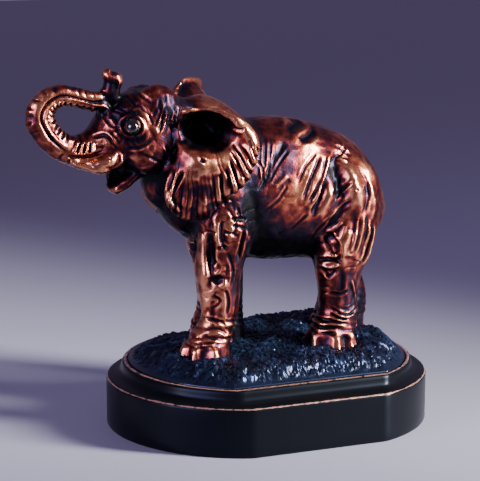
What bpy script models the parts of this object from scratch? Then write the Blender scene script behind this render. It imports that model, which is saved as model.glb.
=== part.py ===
"""A walking elephant with its trunk curled up over its brow, cast in one with the rough earth under it, and
the moulded plinth it is set on. The elephant faces -X, its left side faces -Y, and the plinth's underside is
at Z = 0."""

import math

import bmesh
import bpy
import numpy as np

MM = 0.001
GAP = 0.3  # between the casting and the plinth it stands in

# The plinth's outline is two straight sides joined by a broad arc at each end: (outer edge, inner rim).
HALF_LENGTH = (85.1, 74.6)
HALF_WIDTH = (68.05, 57.6)
STRAIGHT_HALF = (36.8, 41.8)
RIM_INSET = 10.4
SEAT_Z = 31.8
SEAT_INSET = 11.3
# (inset, height) from the foot, up the block, over the cove and the shoulder, and down into the seat.
PLINTH_PROFILE = [
    (0.9, 0.0), (0.0, 0.9), (0.0, 8.0), (0.0, 16.5), (0.0, 24.7), (0.5, 25.3), (2.0, 25.6), (4.6, 26.0),
    (6.6, 26.8), (7.6, 28.2), (8.0, 29.8), (8.3, 31.3), (9.2, 32.4), (10.4, 32.8), (11.0, 32.6),
    (SEAT_INSET, SEAT_Z),
]

GROUND_INSET = 11.9
GROUND_EDGE_Z = 33.4
PLATEAU_Z = 41.6
SLOPE_WIDTH = 10.0

# Trunk, head, body and limbs are given by stations. TORSO and HEAD: (x, top, underside, half width).
TORSO = [
    (-61.8, 146.0, 116.4, 11.0), (-56.0, 158.0, 107.2, 18.0), (-48.6, 168.0, 101.0, 22.5),
    (-39.5, 172.6, 94.4, 25.4), (-30.0, 170.9, 90.6, 27.0), (-21.0, 165.2, 87.6, 28.0),
    (-13.0, 159.4, 86.0, 28.6), (-5.0, 159.8, 85.2, 28.8), (4.0, 159.6, 84.8, 29.0),
    (14.0, 158.0, 84.4, 29.0), (25.0, 155.0, 84.0, 28.8), (35.0, 151.4, 84.2, 28.2),
    (44.0, 146.8, 86.0, 26.8), (51.2, 140.8, 88.6, 24.2), (56.9, 132.2, 92.5, 20.2),
    (61.2, 122.0, 97.0, 14.5), (63.4, 114.5, 102.0, 8.5),
]
HEAD = [
    (-36.0, 168.0, 106.0, 19.5), (-46.0, 171.0, 109.0, 20.0), (-54.0, 175.0, 114.5, 19.8),
    (-61.0, 176.8, 121.0, 19.4), (-68.0, 176.8, 132.2, 19.0), (-75.0, 176.0, 135.4, 18.3),
    (-81.5, 174.2, 137.0, 16.4), (-87.0, 171.0, 136.4, 14.0), (-91.5, 167.0, 135.8, 11.8),
    (-94.8, 161.0, 135.8, 10.6), (-98.0, 157.4, 136.4, 9.8), (-102.0, 155.4, 137.6, 9.0),
]
DOMES = [((-63.5, -8.4, 167.6), (12.0, 8.8, 12.6)), ((-66.2, 8.4, 166.3), (13.0, 8.8, 12.2))]  # of the brow
TRUNK = [  # (x, y, z, half width, half depth)
    (-95.0, 0.0, 146.6, 10.0, 9.4), (-101.3, 0.0, 146.8, 8.8, 8.8), (-107.3, 0.0, 148.0, 7.8, 7.3),
    (-113.4, 0.0, 151.1, 7.2, 7.0), (-119.1, 0.0, 157.5, 7.0, 7.3), (-122.2, 0.0, 165.3, 6.7, 7.5),
    (-118.8, 0.0, 172.3, 6.3, 6.5), (-113.2, -0.5, 175.3, 5.8, 5.7), (-105.1, -1.2, 174.6, 5.4, 5.2),
    (-99.6, -2.0, 173.0, 5.1, 5.1), (-94.5, -2.6, 172.0, 4.9, 5.1), (-89.6, -3.0, 172.9, 4.8, 4.8),
    (-86.2, -3.2, 176.0, 4.7, 4.5), (-85.0, -3.3, 180.2, 4.6, 4.4), (-84.7, -3.3, 183.2, 4.9, 4.9),
]
TRUNK_LIPS = [((-88.5, -3.3, 186.3), (1.9, 4.2, 3.0)), ((-82.2, -3.3, 181.2), (2.1, 4.4, 3.1))]
TRUNK_LIP_RING = ((-84.9, -3.3, 183.0), 4.3, 1.6)
JAW = [
    (-59.0, 0.0, 142.0, 12.0, 7.0), (-68.0, 0.0, 139.0, 11.5, 5.0), (-75.0, 0.0, 134.8, 10.8, 4.2),
    (-80.2, 0.0, 130.3, 9.8, 3.9), (-84.2, 0.0, 127.1, 8.0, 3.7),
]
FAR_LIP = [(-77.0, 8.4, 141.0, 3.0, 4.0), (-80.8, 8.2, 136.0, 2.8, 3.8), (-82.6, 7.4, 130.4, 2.4, 3.2)]
MOUTH = ((-85.0, -1.0, 134.6), (9.0, 7.0, 6.0))  # (place, radii) of the hollow between lip and jaw
NEAR_TUSK = [
    (-85.0, -11.4, 145.2, 3.9, 4.3), (-90.5, -12.0, 142.5, 4.2, 4.5), (-96.0, -11.9, 140.4, 3.8, 3.8),
    (-101.0, -10.9, 141.1, 2.7, 2.5), (-106.0, -9.9, 142.4, 2.0, 1.8), (-110.4, -9.2, 144.3, 1.1, 1.0),
]
FAR_TUSK = [
    (-85.0, 11.4, 146.6, 3.9, 4.2), (-90.5, 12.0, 144.2, 4.1, 4.3), (-97.0, 12.2, 142.6, 3.7, 3.4),
    (-103.0, 12.0, 142.6, 2.7, 2.3), (-108.6, 12.0, 143.8, 2.0, 1.7), (-113.2, 12.0, 145.6, 1.1, 1.0),
]
EYE = (-79.4, 16.2, 160.4)
EYE_RADIUS = 4.2

# Each leg: (x, y, z, half width across the body, half depth along it), from hip or shoulder to the ground.
NEAR_FORELEG = [
    (-36.0, -13.0, 132.0, 11.0, 13.0), (-33.5, -17.0, 118.0, 13.0, 15.0), (-31.0, -18.0, 104.0, 12.6, 14.2),
    (-32.3, -17.2, 93.0, 11.6, 12.9), (-34.3, -17.2, 84.6, 10.8, 11.8), (-34.6, -17.0, 77.0, 10.6, 11.6),
    (-33.9, -17.0, 69.0, 9.9, 10.7), (-34.4, -17.0, 61.0, 9.1, 9.3), (-36.2, -17.0, 54.0, 9.2, 9.2),
    (-39.3, -17.0, 48.0, 10.6, 11.2), (-40.8, -17.0, 43.0, 11.4, 12.0), (-41.0, -17.0, 39.0, 11.2, 11.8),
]
FAR_FORELEG = [
    (-29.0, 13.0, 130.0, 11.0, 13.0), (-27.5, 15.0, 115.0, 12.5, 14.5), (-25.0, 16.0, 102.0, 12.5, 15.0),
    (-22.4, 17.0, 91.0, 11.8, 15.0), (-20.8, 17.0, 82.0, 11.2, 14.0), (-19.6, 17.0, 72.0, 10.6, 12.7),
    (-19.5, 17.0, 61.0, 10.4, 12.5), (-20.0, 17.0, 54.0, 10.8, 13.2), (-20.8, 17.0, 48.0, 11.6, 14.8),
    (-21.2, 17.0, 43.0, 12.0, 15.5), (-21.2, 17.0, 39.0, 11.8, 15.0),
]
NEAR_HINDLEG = [
    (39.5, -12.0, 130.0, 13.0, 15.0), (39.8, -15.5, 116.0, 14.2, 17.4), (37.4, -17.0, 104.0, 13.8, 17.4),
    (35.8, -17.5, 95.0, 13.0, 16.7), (34.3, -17.3, 87.0, 12.2, 15.5), (33.1, -17.0, 80.0, 10.9, 13.3),
    (32.9, -17.0, 73.0, 10.0, 11.6), (33.0, -17.0, 66.0, 9.6, 10.7), (33.2, -17.0, 60.0, 9.6, 10.4),
    (32.4, -17.0, 53.5, 10.3, 11.2), (30.2, -17.0, 47.5, 11.2, 12.1), (29.4, -17.0, 43.0, 11.6, 12.2),
    (29.3, -17.0, 39.0, 11.3, 12.0),
]
FAR_HINDLEG = [
    (44.0, 12.0, 126.0, 13.0, 15.0), (48.5, 15.0, 112.0, 13.5, 16.0), (52.4, 16.5, 100.0, 13.0, 15.3),
    (52.6, 17.0, 91.0, 12.6, 14.2), (51.4, 17.0, 82.0, 12.0, 13.2), (49.8, 17.0, 74.0, 11.2, 12.6),
    (50.2, 17.0, 67.0, 11.0, 12.6), (52.1, 17.0, 60.0, 11.2, 13.2), (51.5, 17.0, 53.0, 11.6, 13.7),
    (50.4, 17.0, 47.0, 11.8, 14.2), (50.0, 17.0, 43.0, 12.0, 14.5), (50.0, 17.0, 39.0, 11.8, 14.2),
]
MASSES = [  # (place, radii) of the flesh under the skin: shoulders, haunches, palate and cheeks
    ((-30.0, -15.0, 122.0), (16.0, 15.5, 24.0)), ((-25.0, 14.0, 122.0), (16.0, 15.0, 24.0)),
    ((39.0, -14.5, 117.0), (18.5, 16.6, 24.0)), ((41.0, 14.0, 116.0), (17.0, 15.5, 22.5)),
    ((-71.0, 0.0, 139.5), (10.0, 9.0, 6.0)),
    ((-70.0, -12.5, 147.0), (11.0, 8.0, 12.0)), ((-70.0, 12.5, 147.0), (11.0, 8.0, 12.0)),
]
TAIL = [
    (54.0, 0.0, 124.0, 4.0, 4.0), (59.4, 0.0, 116.5, 3.4, 3.2), (61.4, 0.2, 107.0, 2.9, 2.7),
    (60.2, 0.6, 98.0, 2.6, 2.4), (57.4, 1.4, 89.0, 2.4, 2.3), (53.8, 2.4, 81.0, 2.4, 2.3),
    (50.4, 3.2, 74.0, 2.9, 2.6), (48.6, 3.6, 69.5, 2.0, 1.9),
]

# A foot: (x, y, sole radius); nails are given by their bearing from straight ahead, toward the outer side.
FEET = {
    "near_fore": (-41.0, -17.0, 12.2), "far_fore": (-21.2, 17.0, 13.2),
    "near_hind": (29.6, -17.0, 12.0), "far_hind": (49.6, 17.0, 13.2),
}
NAIL_BEARINGS = (-95.0, -50.0, -5.0, 40.0, 86.0)
HIND_NAIL_BEARINGS = (-72.0, -26.0, 20.0, 75.0, 122.0)
NAIL_RADII = (2.7, 3.1, 3.5)

# An ear's outline in its own plane: (distance back from its root, height), from the top of the root round.
EAR_OUTLINE = [
    (5.0, 169.8), (11.6, 170.2), (18.8, 169.8), (26.0, 168.8), (32.0, 166.2), (37.0, 163.2), (40.8, 159.6),
    (43.8, 155.0), (45.0, 150.4), (44.2, 144.5), (41.8, 138.2), (38.2, 131.6), (33.6, 127.2), (27.0, 123.2),
    (21.5, 120.6), (17.6, 114.6), (10.0, 112.4), (3.8, 114.0), (-1.6, 119.4), (-3.8, 126.5), (-1.4, 137.0),
    (2.6, 148.0), (3.8, 160.0),
]
# Each ear's hollow: how far back its middle is, its half width, its middle's height, its half height, how
# much it falls toward the back, and how much softer its lower and rear walls are.
EAR_BOWLS = {"near": (17.4, 10.9, 157.8, 9.2, 0.12, 0.8), "far": (19.6, 12.9, 155.6, 11.4, 0.0, 0.0)}
EAR_CENTRE = (17.0, 147.0)
EAR_THICKNESS = 4.2
EAR_ROOTS = {  # (x, y, swing away from the body, then below and above its middle: lean back, scale; spread)
    "near": (-62.0, -21.0, 14.0, (0.0, 0.0), (1.0, 1.0), 1.0),
    "far": (-57.0, 23.2, 30.0, (-0.12, 1.05), (1.21, 1.28), 0.97),
}
RIB_ORIGIN = (12.0, 214.0)  # (back, height) of the place that the ribs fan out from
RIB_PITCH = 0.0886  # radians from rib to rib

TRIANGLES = 8600


def spline(rows, count):
    """The smooth curve through rows of numbers, read at evenly spread places along it."""
    rows = np.array(rows, float)
    steps = np.linalg.norm(np.diff(rows[:, :3], axis=0), axis=1)
    knots = np.concatenate([[0.0], np.cumsum(steps)])
    slopes = np.gradient(rows, knots, axis=0)
    places = np.linspace(0.0, knots[-1], count)
    index = np.clip(np.searchsorted(knots, places, side="right") - 1, 0, len(knots) - 2)
    span = (knots[index + 1] - knots[index])[:, None]
    t = (places - knots[index])[:, None] / span
    start, end = rows[index], rows[index + 1]
    leave, arrive = slopes[index] * span, slopes[index + 1] * span
    turn = t * t * (3.0 - 2.0 * t)
    return start + turn * (end - start) + t * (1.0 - t) ** 2 * leave + t * t * (t - 1.0) * arrive


def unit(vectors):
    return vectors / np.maximum(np.linalg.norm(vectors, axis=-1, keepdims=True), 1e-9)


def new_object(name, points, faces, home):
    """A mesh object from points in millimetres, with its faces turned outward."""
    mesh = bpy.data.meshes.new(name)
    mesh.from_pydata((np.asarray(points) * MM).tolist(), [], faces)
    shape = bmesh.new()
    shape.from_mesh(mesh)
    bmesh.ops.recalc_face_normals(shape, faces=shape.faces)
    shape.to_mesh(mesh)
    shape.free()
    made = bpy.data.objects.new(name, mesh)
    home.objects.link(made)
    return made


def tube_faces(rings, sides):
    """Quads between neighbouring rings, and a fan on each end to the two points that follow the rings."""
    faces = []
    for r in range(rings - 1):
        for s in range(sides):
            n = (s + 1) % sides
            faces.append((r * sides + s, r * sides + n, (r + 1) * sides + n, (r + 1) * sides + s))
    first, last = rings * sides, rings * sides + 1
    for s in range(sides):
        n = (s + 1) % sides
        faces.append((first, n, s))
        faces.append((last, (rings - 1) * sides + s, (rings - 1) * sides + n))
    return faces


def limb(name, stations, home, rings=36, sides=28, upright=False):
    """A rounded limb through its stations, each end closed by a dome. Upright sections stand square to X."""
    path = spline(stations, rings)
    ahead = unit(np.gradient(path[:, :3], axis=0))
    if upright:
        ahead = np.tile([math.copysign(1.0, path[-1, 0] - path[0, 0]), 0.0, 0.0], (rings, 1))
    side = unit(np.array([0.0, 1.0, 0.0]) - ahead * ahead[:, 1:2])
    up = np.cross(ahead, side)
    turns = np.linspace(0.0, 2.0 * math.pi, sides, endpoint=False)
    rows = []
    for step in (-0.9, -0.62, -0.32):
        rows.append((0, step))
    rows += [(r, 0.0) for r in range(rings)]
    for step in (0.32, 0.62, 0.9):
        rows.append((rings - 1, step))
    points = []
    for r, step in rows:
        dome = 0.7 * min(path[r, 3], path[r, 4])
        centre = path[r, :3] + ahead[r] * dome * step
        shrink = math.sqrt(1.0 - step * step)
        for turn in turns:
            out = side[r] * path[r, 3] * math.cos(turn) + up[r] * path[r, 4] * math.sin(turn)
            points.append(centre + out * shrink)
    for r, step in ((0, -1.0), (rings - 1, 1.0)):
        points.append(path[r, :3] + ahead[r] * 0.7 * min(path[r, 3], path[r, 4]) * step)
    return new_object(name, points, tube_faces(len(rows), sides), home)


def upright_stations(rows):
    """Body stations (x, top, underside, half width) as limb stations."""
    return [(x, 0.0, (top + low) / 2.0, half, (top - low) / 2.0) for x, top, low, half in rows]


def ball(name, place, radii, home, turn=(0.0, 0.0, 0.0)):
    bpy.ops.mesh.primitive_uv_sphere_add(segments=24, ring_count=14, radius=1.0)
    made = bpy.context.active_object
    made.name = name
    made.scale = [r * MM for r in radii]
    made.rotation_euler = [math.radians(a) for a in turn]
    made.location = [p * MM for p in place]
    bpy.ops.object.transform_apply(location=True, rotation=True, scale=True)
    for old in made.users_collection:
        old.objects.unlink(made)
    home.objects.link(made)
    return made


def bump(x, z, at_x, at_z, wide, high):
    return np.exp(-(((x - at_x) / wide) ** 2) - ((z - at_z) / high) ** 2)


def ease(value, low, high):
    t = np.clip((value - low) / (high - low), 0.0, 1.0)
    return t * t * (3.0 - 2.0 * t)


def ear_bowl(back, height, which):
    """The hollow of the ear: 1 in its middle, falling to 0 at its rim."""
    place, half_wide, middle, half_tall, slope, soft = EAR_BOWLS[which]
    raised = height - middle + slope * (back - place)
    steep = 2.0 - soft * ease(np.maximum(-raised, back - place), 0.0, 6.0)
    return np.exp(-((((back - place) / half_wide) ** 2 + (raised / half_tall) ** 2) ** steep))


def ear_depth(back, height, reach, bearing, which):
    """How far the ear's outer face stands out of its plane: a rolled rim, a deep hollow, a swelling, ribs."""
    rolled = ease(np.cos(bearing - 0.62), -0.35, 0.25)
    lobe = ease(-height, -142.0, -126.0) * ease(-back, -12.0, 4.0)
    depth = 5.0 * ease(back, -1.0, 11.0) + 6.0 * lobe
    depth = depth + 4.0 * rolled * np.exp(-(((reach - 0.86) / 0.15) ** 2))
    depth = depth - 13.5 * ear_bowl(back, height, which)
    depth = depth + 6.5 * bump(back, height, 14.0, 144.0, 13.0, 7.5)
    depth = depth - 3.0 * ease(-height, -124.0, -113.0)
    fan = np.arctan2(back - RIB_ORIGIN[0], RIB_ORIGIN[1] - height)
    ribbed = ease(reach, 0.5, 0.75) * ease(-np.sin(bearing), -0.15, 0.35)
    return depth - 1.0 * ribbed * np.cos(2.0 * math.pi * fan / RIB_PITCH)


def ear(name, which, home, rings=20, sides=150):
    """A fan-shaped ear: an outer and an inner face over the same outline, joined round the edge."""
    root_x, root_y, swing, lean, tall, spread = EAR_ROOTS[which]
    outline = spline([(b, h, 0.0) for b, h in EAR_OUTLINE + EAR_OUTLINE[:1]], 240)[:, :2]
    spokes = outline - np.array(EAR_CENTRE)
    bearings = np.unwrap(np.arctan2(spokes[:, 1], spokes[:, 0]))
    order = np.argsort(bearings)
    lengths = np.linalg.norm(spokes, axis=1)[order]
    turns = np.linspace(0.0, 2.0 * math.pi, sides, endpoint=False)
    radii = np.interp(turns, bearings[order], lengths, period=2.0 * math.pi)
    outward = 1.0 if root_y > 0 else -1.0
    along = np.array([math.cos(math.radians(swing)), outward * math.sin(math.radians(swing))])
    across = np.array([-math.sin(math.radians(swing)), outward * math.cos(math.radians(swing))])
    points = []
    for face in (1.0, -1.0):
        reaches = np.linspace(0.04, 1.0, rings)
        for reach in reaches if face > 0 else reaches[::-1]:
            back = EAR_CENTRE[0] + np.cos(turns) * radii * reach
            height = EAR_CENTRE[1] + np.sin(turns) * radii * reach
            depth = ear_depth(back, height, reach, turns, which)
            edge = math.sqrt(max(1.0 - reach ** 6, 0.0))
            depth = depth - EAR_THICKNESS / 2.0 + face * EAR_THICKNESS / 2.0 * (0.35 + 0.65 * edge)
            above = height - EAR_CENTRE[1]
            leant = back * spread + np.where(above > 0.0, lean[1], lean[0]) * above
            place = np.array([root_x, root_y]) + leant[:, None] * along + depth[:, None] * across
            raised = np.where(above > 0.0, tall[1], tall[0]) * above
            points += np.column_stack([place, EAR_CENTRE[1] + raised]).tolist()
    first = np.mean(points[:sides], axis=0)
    last = np.mean(points[-sides:], axis=0)
    return new_object(name, points + [first, last], tube_faces(2 * rings, sides), home)


def ring(name, place, radius, thickness, home, turn):
    bpy.ops.mesh.primitive_torus_add(
        major_radius=radius * MM, minor_radius=thickness * MM, major_segments=32, minor_segments=12,
        location=[p * MM for p in place], rotation=[math.radians(a) for a in turn],
    )
    made = bpy.context.active_object
    made.name = name
    bpy.ops.object.transform_apply(location=True, rotation=True, scale=True)
    for old in made.users_collection:
        old.objects.unlink(made)
    home.objects.link(made)
    return made


def outline(inset, arc=16, side=5):
    """The plinth's outline at an inset, anticlockwise from the middle of the -Y side's right half."""
    share = inset / RIM_INSET
    length = HALF_LENGTH[0] + share * (HALF_LENGTH[1] - HALF_LENGTH[0])
    width = HALF_WIDTH[0] + share * (HALF_WIDTH[1] - HALF_WIDTH[0])
    straight = STRAIGHT_HALF[0] + share * (STRAIGHT_HALF[1] - STRAIGHT_HALF[0])
    middle = (length ** 2 - straight ** 2 - width ** 2) / (2.0 * (length - straight))
    radius = length - middle
    reach = math.atan2(width, straight - middle)
    points = []
    for k in range(arc + 1):
        turn = -reach + 2.0 * reach * k / arc
        points.append((middle + radius * math.cos(turn), radius * math.sin(turn)))
    for k in range(1, side):
        points.append((straight - 2.0 * straight * k / side, width))
    return points + [(-x, -y) for x, y in points]


def plinth(home):
    rows = [[(x, y, z) for x, y in outline(inset)] for inset, z in PLINTH_PROFILE]
    sides = len(rows[0])
    points = [p for row in rows for p in row] + [(0.0, 0.0, 0.0), (0.0, 0.0, SEAT_Z)]
    return new_object("plinth", points, tube_faces(len(rows), sides), home)


def ground_height(x, y, inner):
    """The earth's height: a level top, falling away to the edge, with low rolls in it."""
    level = ease(inner, 0.0, 1.0) ** 0.75
    rolls = 0.7 * np.sin(x * 0.13 + 0.6) * np.cos(y * 0.16 - 0.4) + 0.5 * np.sin(x * 0.21 - y * 0.17)
    rise = 0.1 * (x - 14.0) * ease(y, 5.0, 35.0)
    return GROUND_EDGE_Z + level * (PLATEAU_Z - GROUND_EDGE_Z + rolls + rise)


def ground(home):
    """The mound of earth: rings drawn in from the edge of the seat, and a flat underside."""
    low = SEAT_Z + GAP
    edge = np.array(outline(GROUND_INSET))
    points = [(x, y, low) for x, y in edge]
    widest = HALF_WIDTH[1]
    insets = [0.0, 0.6, 2.0, 5.0, 9.0, 13.0, 17.0, 21.0, 27.0, 34.0, 42.0, 50.0]
    for inset in insets:
        share = 1.0 - inset / widest
        ring_points = edge * share
        inner = np.full(len(edge), inset / SLOPE_WIDTH)
        heights = ground_height(ring_points[:, 0], ring_points[:, 1], inner)
        points += np.column_stack([ring_points, heights]).tolist()
    points += [(0.0, 0.0, low), (0.0, 0.0, float(ground_height(0.0, 0.0, 1.0)))]
    return new_object("ground", points, tube_faces(len(insets) + 1, len(edge)), home)


def fuse(name, parts, voxel, smoothing, home):
    """One skin over several overlapping closed parts, its joints eased."""
    shape = bmesh.new()
    for part in parts:
        shape.from_mesh(part.data)
        bpy.data.objects.remove(part)
    mesh = bpy.data.meshes.new(name)
    shape.to_mesh(mesh)
    shape.free()
    made = bpy.data.objects.new(name, mesh)
    home.objects.link(made)
    skin = made.modifiers.new("one skin", "REMESH")
    skin.mode = "VOXEL"
    skin.voxel_size = voxel * MM
    eased = made.modifiers.new("eased joints", "SMOOTH")
    eased.factor = 0.5
    eased.iterations = smoothing
    settle(made)
    return made


def settle(made):
    """Makes the object's modifiers part of its mesh."""
    bpy.context.view_layer.update()
    graph = bpy.context.evaluated_depsgraph_get()
    mesh = bpy.data.meshes.new_from_object(made.evaluated_get(graph))
    made.modifiers.clear()
    old = made.data
    made.data = mesh
    bpy.data.meshes.remove(old)


def arrays_of(made):
    count = len(made.data.vertices)
    points = np.empty(count * 3)
    made.data.vertices.foreach_get("co", points)
    normals = np.empty(count * 3)
    made.data.vertex_normals.foreach_get("vector", normals)
    return points.reshape(-1, 3) / MM, normals.reshape(-1, 3)


def press(made, amounts):
    """Moves each point of the skin along its normal, outward for a positive amount in millimetres."""
    points, normals = arrays_of(made)
    moved = points + normals * amounts[:, None]
    made.data.vertices.foreach_set("co", (moved * MM).ravel())
    made.data.update()


def nearest_on(path, points):
    """For each point: how far along the path it is, its distance from it, and the place on the path."""
    length = np.concatenate([[0.0], np.cumsum(np.linalg.norm(np.diff(path, axis=0), axis=1))])
    best = np.full(len(points), 1e9)
    along = np.zeros(len(points))
    place = np.zeros_like(points)
    for k in range(len(path)):
        distance = np.linalg.norm(points - path[k], axis=1)
        closer = distance < best
        best[closer] = distance[closer]
        along[closer] = length[k]
        place[closer] = path[k]
    return along, best, place


def carve_trunk(made):
    """Comb ridges round the inside of the curl, and a groove along each side of the trunk."""
    points, _ = arrays_of(made)
    path = spline([row[:3] for row in TRUNK], 400)
    width = spline(TRUNK, 400)[:, 4]
    along, distance, place = nearest_on(path, points)
    reach = np.interp(along, np.linspace(0.0, along.max(), 400), width)
    on_trunk = (distance < reach + 2.5) & (along > 6.0) & (points[:, 2] > 136.0)
    centre = np.array([-105.0, 0.0, 163.0])
    inward = unit(centre - place)
    facing = np.einsum("ij,ij->i", unit(points - place), inward)
    comb = 0.75 * np.cos(2.0 * math.pi * along / 3.6) * ease(facing, 0.05, 0.55)
    groove = -1.1 * np.exp(-((facing + 0.12) / 0.16) ** 2) * ease(along, 14.0, 24.0)
    crease = -0.8 * np.exp(-(((along - 33.0) % 7.0 - 3.5) / 0.9) ** 2) * ease(-facing, 0.3, 0.7)
    crease = crease * ease(along, 20.0, 26.0) * ease(-along, -62.0, -54.0)
    press(made, np.where(on_trunk, comb + groove + crease, 0.0))


def fold(points, start, end, wide, deep, side):
    """A furrow with a raised lip beside it, from start to end (x, z) on the near (-1) or far (1) flank."""
    start, end = np.array(start), np.array(end)
    run = end - start
    flat = points[:, [0, 2]] - start
    t = np.clip(flat @ run / (run @ run), 0.0, 1.0)
    across = flat @ np.array([-run[1], run[0]]) / np.linalg.norm(run)
    off = np.linalg.norm(flat - t[:, None] * run, axis=1)
    end_fade = np.sin(np.pi * np.clip(t, 0.0, 1.0)) ** 0.6
    beyond = np.exp(-(np.maximum(off - np.abs(across), 0.0) / 2.0) ** 2)
    shape = -np.exp(-((across / wide) ** 2)) + 0.45 * np.exp(-(((np.abs(across) - 2.1 * wide) / wide) ** 2))
    return deep * shape * end_fade * beyond * (points[:, 1] * side > 4.0)


FLANK_FOLDS = [  # (start, end, half width, depth): long folds falling forward down the flank
    ((18.5, 140.5), (7.5, 120.0), 1.2, 1.1), ((22.5, 140.0), (10.5, 118.0), 1.3, 1.4),
    ((26.0, 140.5), (15.0, 117.5), 1.2, 1.2), ((30.0, 142.0), (12.5, 111.0), 1.8, 1.9),
    ((0.5, 149.0), (-15.0, 127.0), 1.6, 1.6), ((-5.0, 145.0), (-17.0, 126.0), 1.2, 1.0),
    ((4.5, 154.0), (16.5, 156.5), 2.2, 1.4), ((9.0, 149.0), (21.5, 152.5), 2.0, 1.3),
    ((27.5, 135.5), (29.0, 119.0), 3.4, 1.5), ((33.5, 138.0), (38.5, 113.0), 3.4, -1.2),
    ((34.0, 118.0), (20.0, 101.0), 1.3, 1.1), ((43.5, 128.0), (41.5, 110.0), 1.3, 1.1),
]
LEG_FOLDS = [
    ((36.8, 108.0), (32.0, 91.0), 1.3, 1.3), ((22.5, 101.5), (28.4, 85.0), 1.4, 1.4),
    ((20.5, 86.5), (28.0, 86.5), 1.3, 1.5), ((47.5, 104.0), (41.0, 83.0), 1.3, 1.2),
    ((39.0, 110.0), (33.5, 90.0), 1.5, -0.9), ((-42.2, 106.5), (-42.2, 76.5), 1.4, 1.4),
    ((-37.0, 84.0), (-41.0, 79.6), 2.1, 1.6), ((-25.2, 106.5), (-28.4, 92.0), 1.3, 1.3),
    ((-33.5, 113.2), (-23.5, 112.0), 1.2, 0.9), ((-37.6, 112.0), (-35.0, 97.0), 1.2, 1.1),
    ((-44.6, 106.0), (-44.9, 79.0), 1.8, -0.9),
]


def carve_hide(made):
    """The folds of the flank and the legs, plainer on the far side, and the rings of skin at each ankle."""
    points, _ = arrays_of(made)
    amounts = np.zeros(len(points))
    for start, end, wide, deep in FLANK_FOLDS:
        amounts += fold(points, start, end, wide, deep, -1.0)
        amounts += fold(points, start, end, wide * 1.3, deep * 0.7, 1.0)
    for start, end, wide, deep in LEG_FOLDS:
        amounts += fold(points, start, end, wide, deep, -1.0) * (points[:, 1] > -33.0)
        shifted = (start[0] + 15.0, start[1]), (end[0] + 15.0, end[1])
        amounts += fold(points, *shifted, wide * 1.2, deep * 0.7, 1.0) * (points[:, 2] < 108.0)
    rings = np.cos(2.0 * math.pi * (points[:, 2] + 0.16 * points[:, 0]) / 3.1)
    ankle = ease(points[:, 2], 45.0, 48.0) * ease(-points[:, 2], -63.0, -57.0)
    hind = points[:, 0] > 8.0
    amounts += np.where(hind, 0.75, 0.4) * rings * ankle
    head = (points[:, 0] < -50.0) & (points[:, 2] > 105.0)
    amounts = np.where(head & (np.abs(points[:, 1]) < 20.0), 0.0, amounts)
    flat_ear = np.abs(points[:, 1]) > 33.0
    press(made, np.where(flat_ear & (points[:, 2] > 108.0), 0.0, amounts))


def hollow_near_ear(made, sunk):
    """Sinks the near ear's bowl, and the neck that stands behind it, toward the body."""
    points, _ = arrays_of(made)
    root_x, root_y, swing = EAR_ROOTS["near"][:3]
    along = np.array([math.cos(math.radians(swing)), -math.sin(math.radians(swing))])
    across = np.array([-math.sin(math.radians(swing)), -math.cos(math.radians(swing))])
    from_root = points[:, :2] - np.array([root_x, root_y])
    bowl = ear_bowl(from_root @ along, points[:, 2], "near")
    points[:, :2] -= (sunk * bowl * ease(from_root @ across, -32.0, -8.0))[:, None] * across
    made.data.vertices.foreach_set("co", (points * MM).ravel())
    made.data.update()


def carve_face(made):
    """A socket round each eye, with a lid over it and a pouch under it."""
    points, _ = arrays_of(made)
    amounts = np.zeros(len(points))
    for side in (-1.0, 1.0):
        on_side = points[:, 1] * side > 8.0
        dx, dz = points[:, 0] - EYE[0], points[:, 2] - EYE[2]
        around = np.hypot(dx, dz * 1.12)
        socket = -1.9 * np.exp(-((around / 5.6) ** 2)) * (around > 3.6)
        lid = 1.15 * np.exp(-(((around - 5.6) / 1.3) ** 2)) * ease(dz + 0.25 * dx, -3.5, 2.0)
        pouch = 0.8 * np.exp(-(((around - 6.4) / 1.2) ** 2)) * ease(-dz, 0.0, 3.0)
        amounts += np.where(on_side, socket + lid + pouch, 0.0)
    press(made, amounts)


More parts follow.
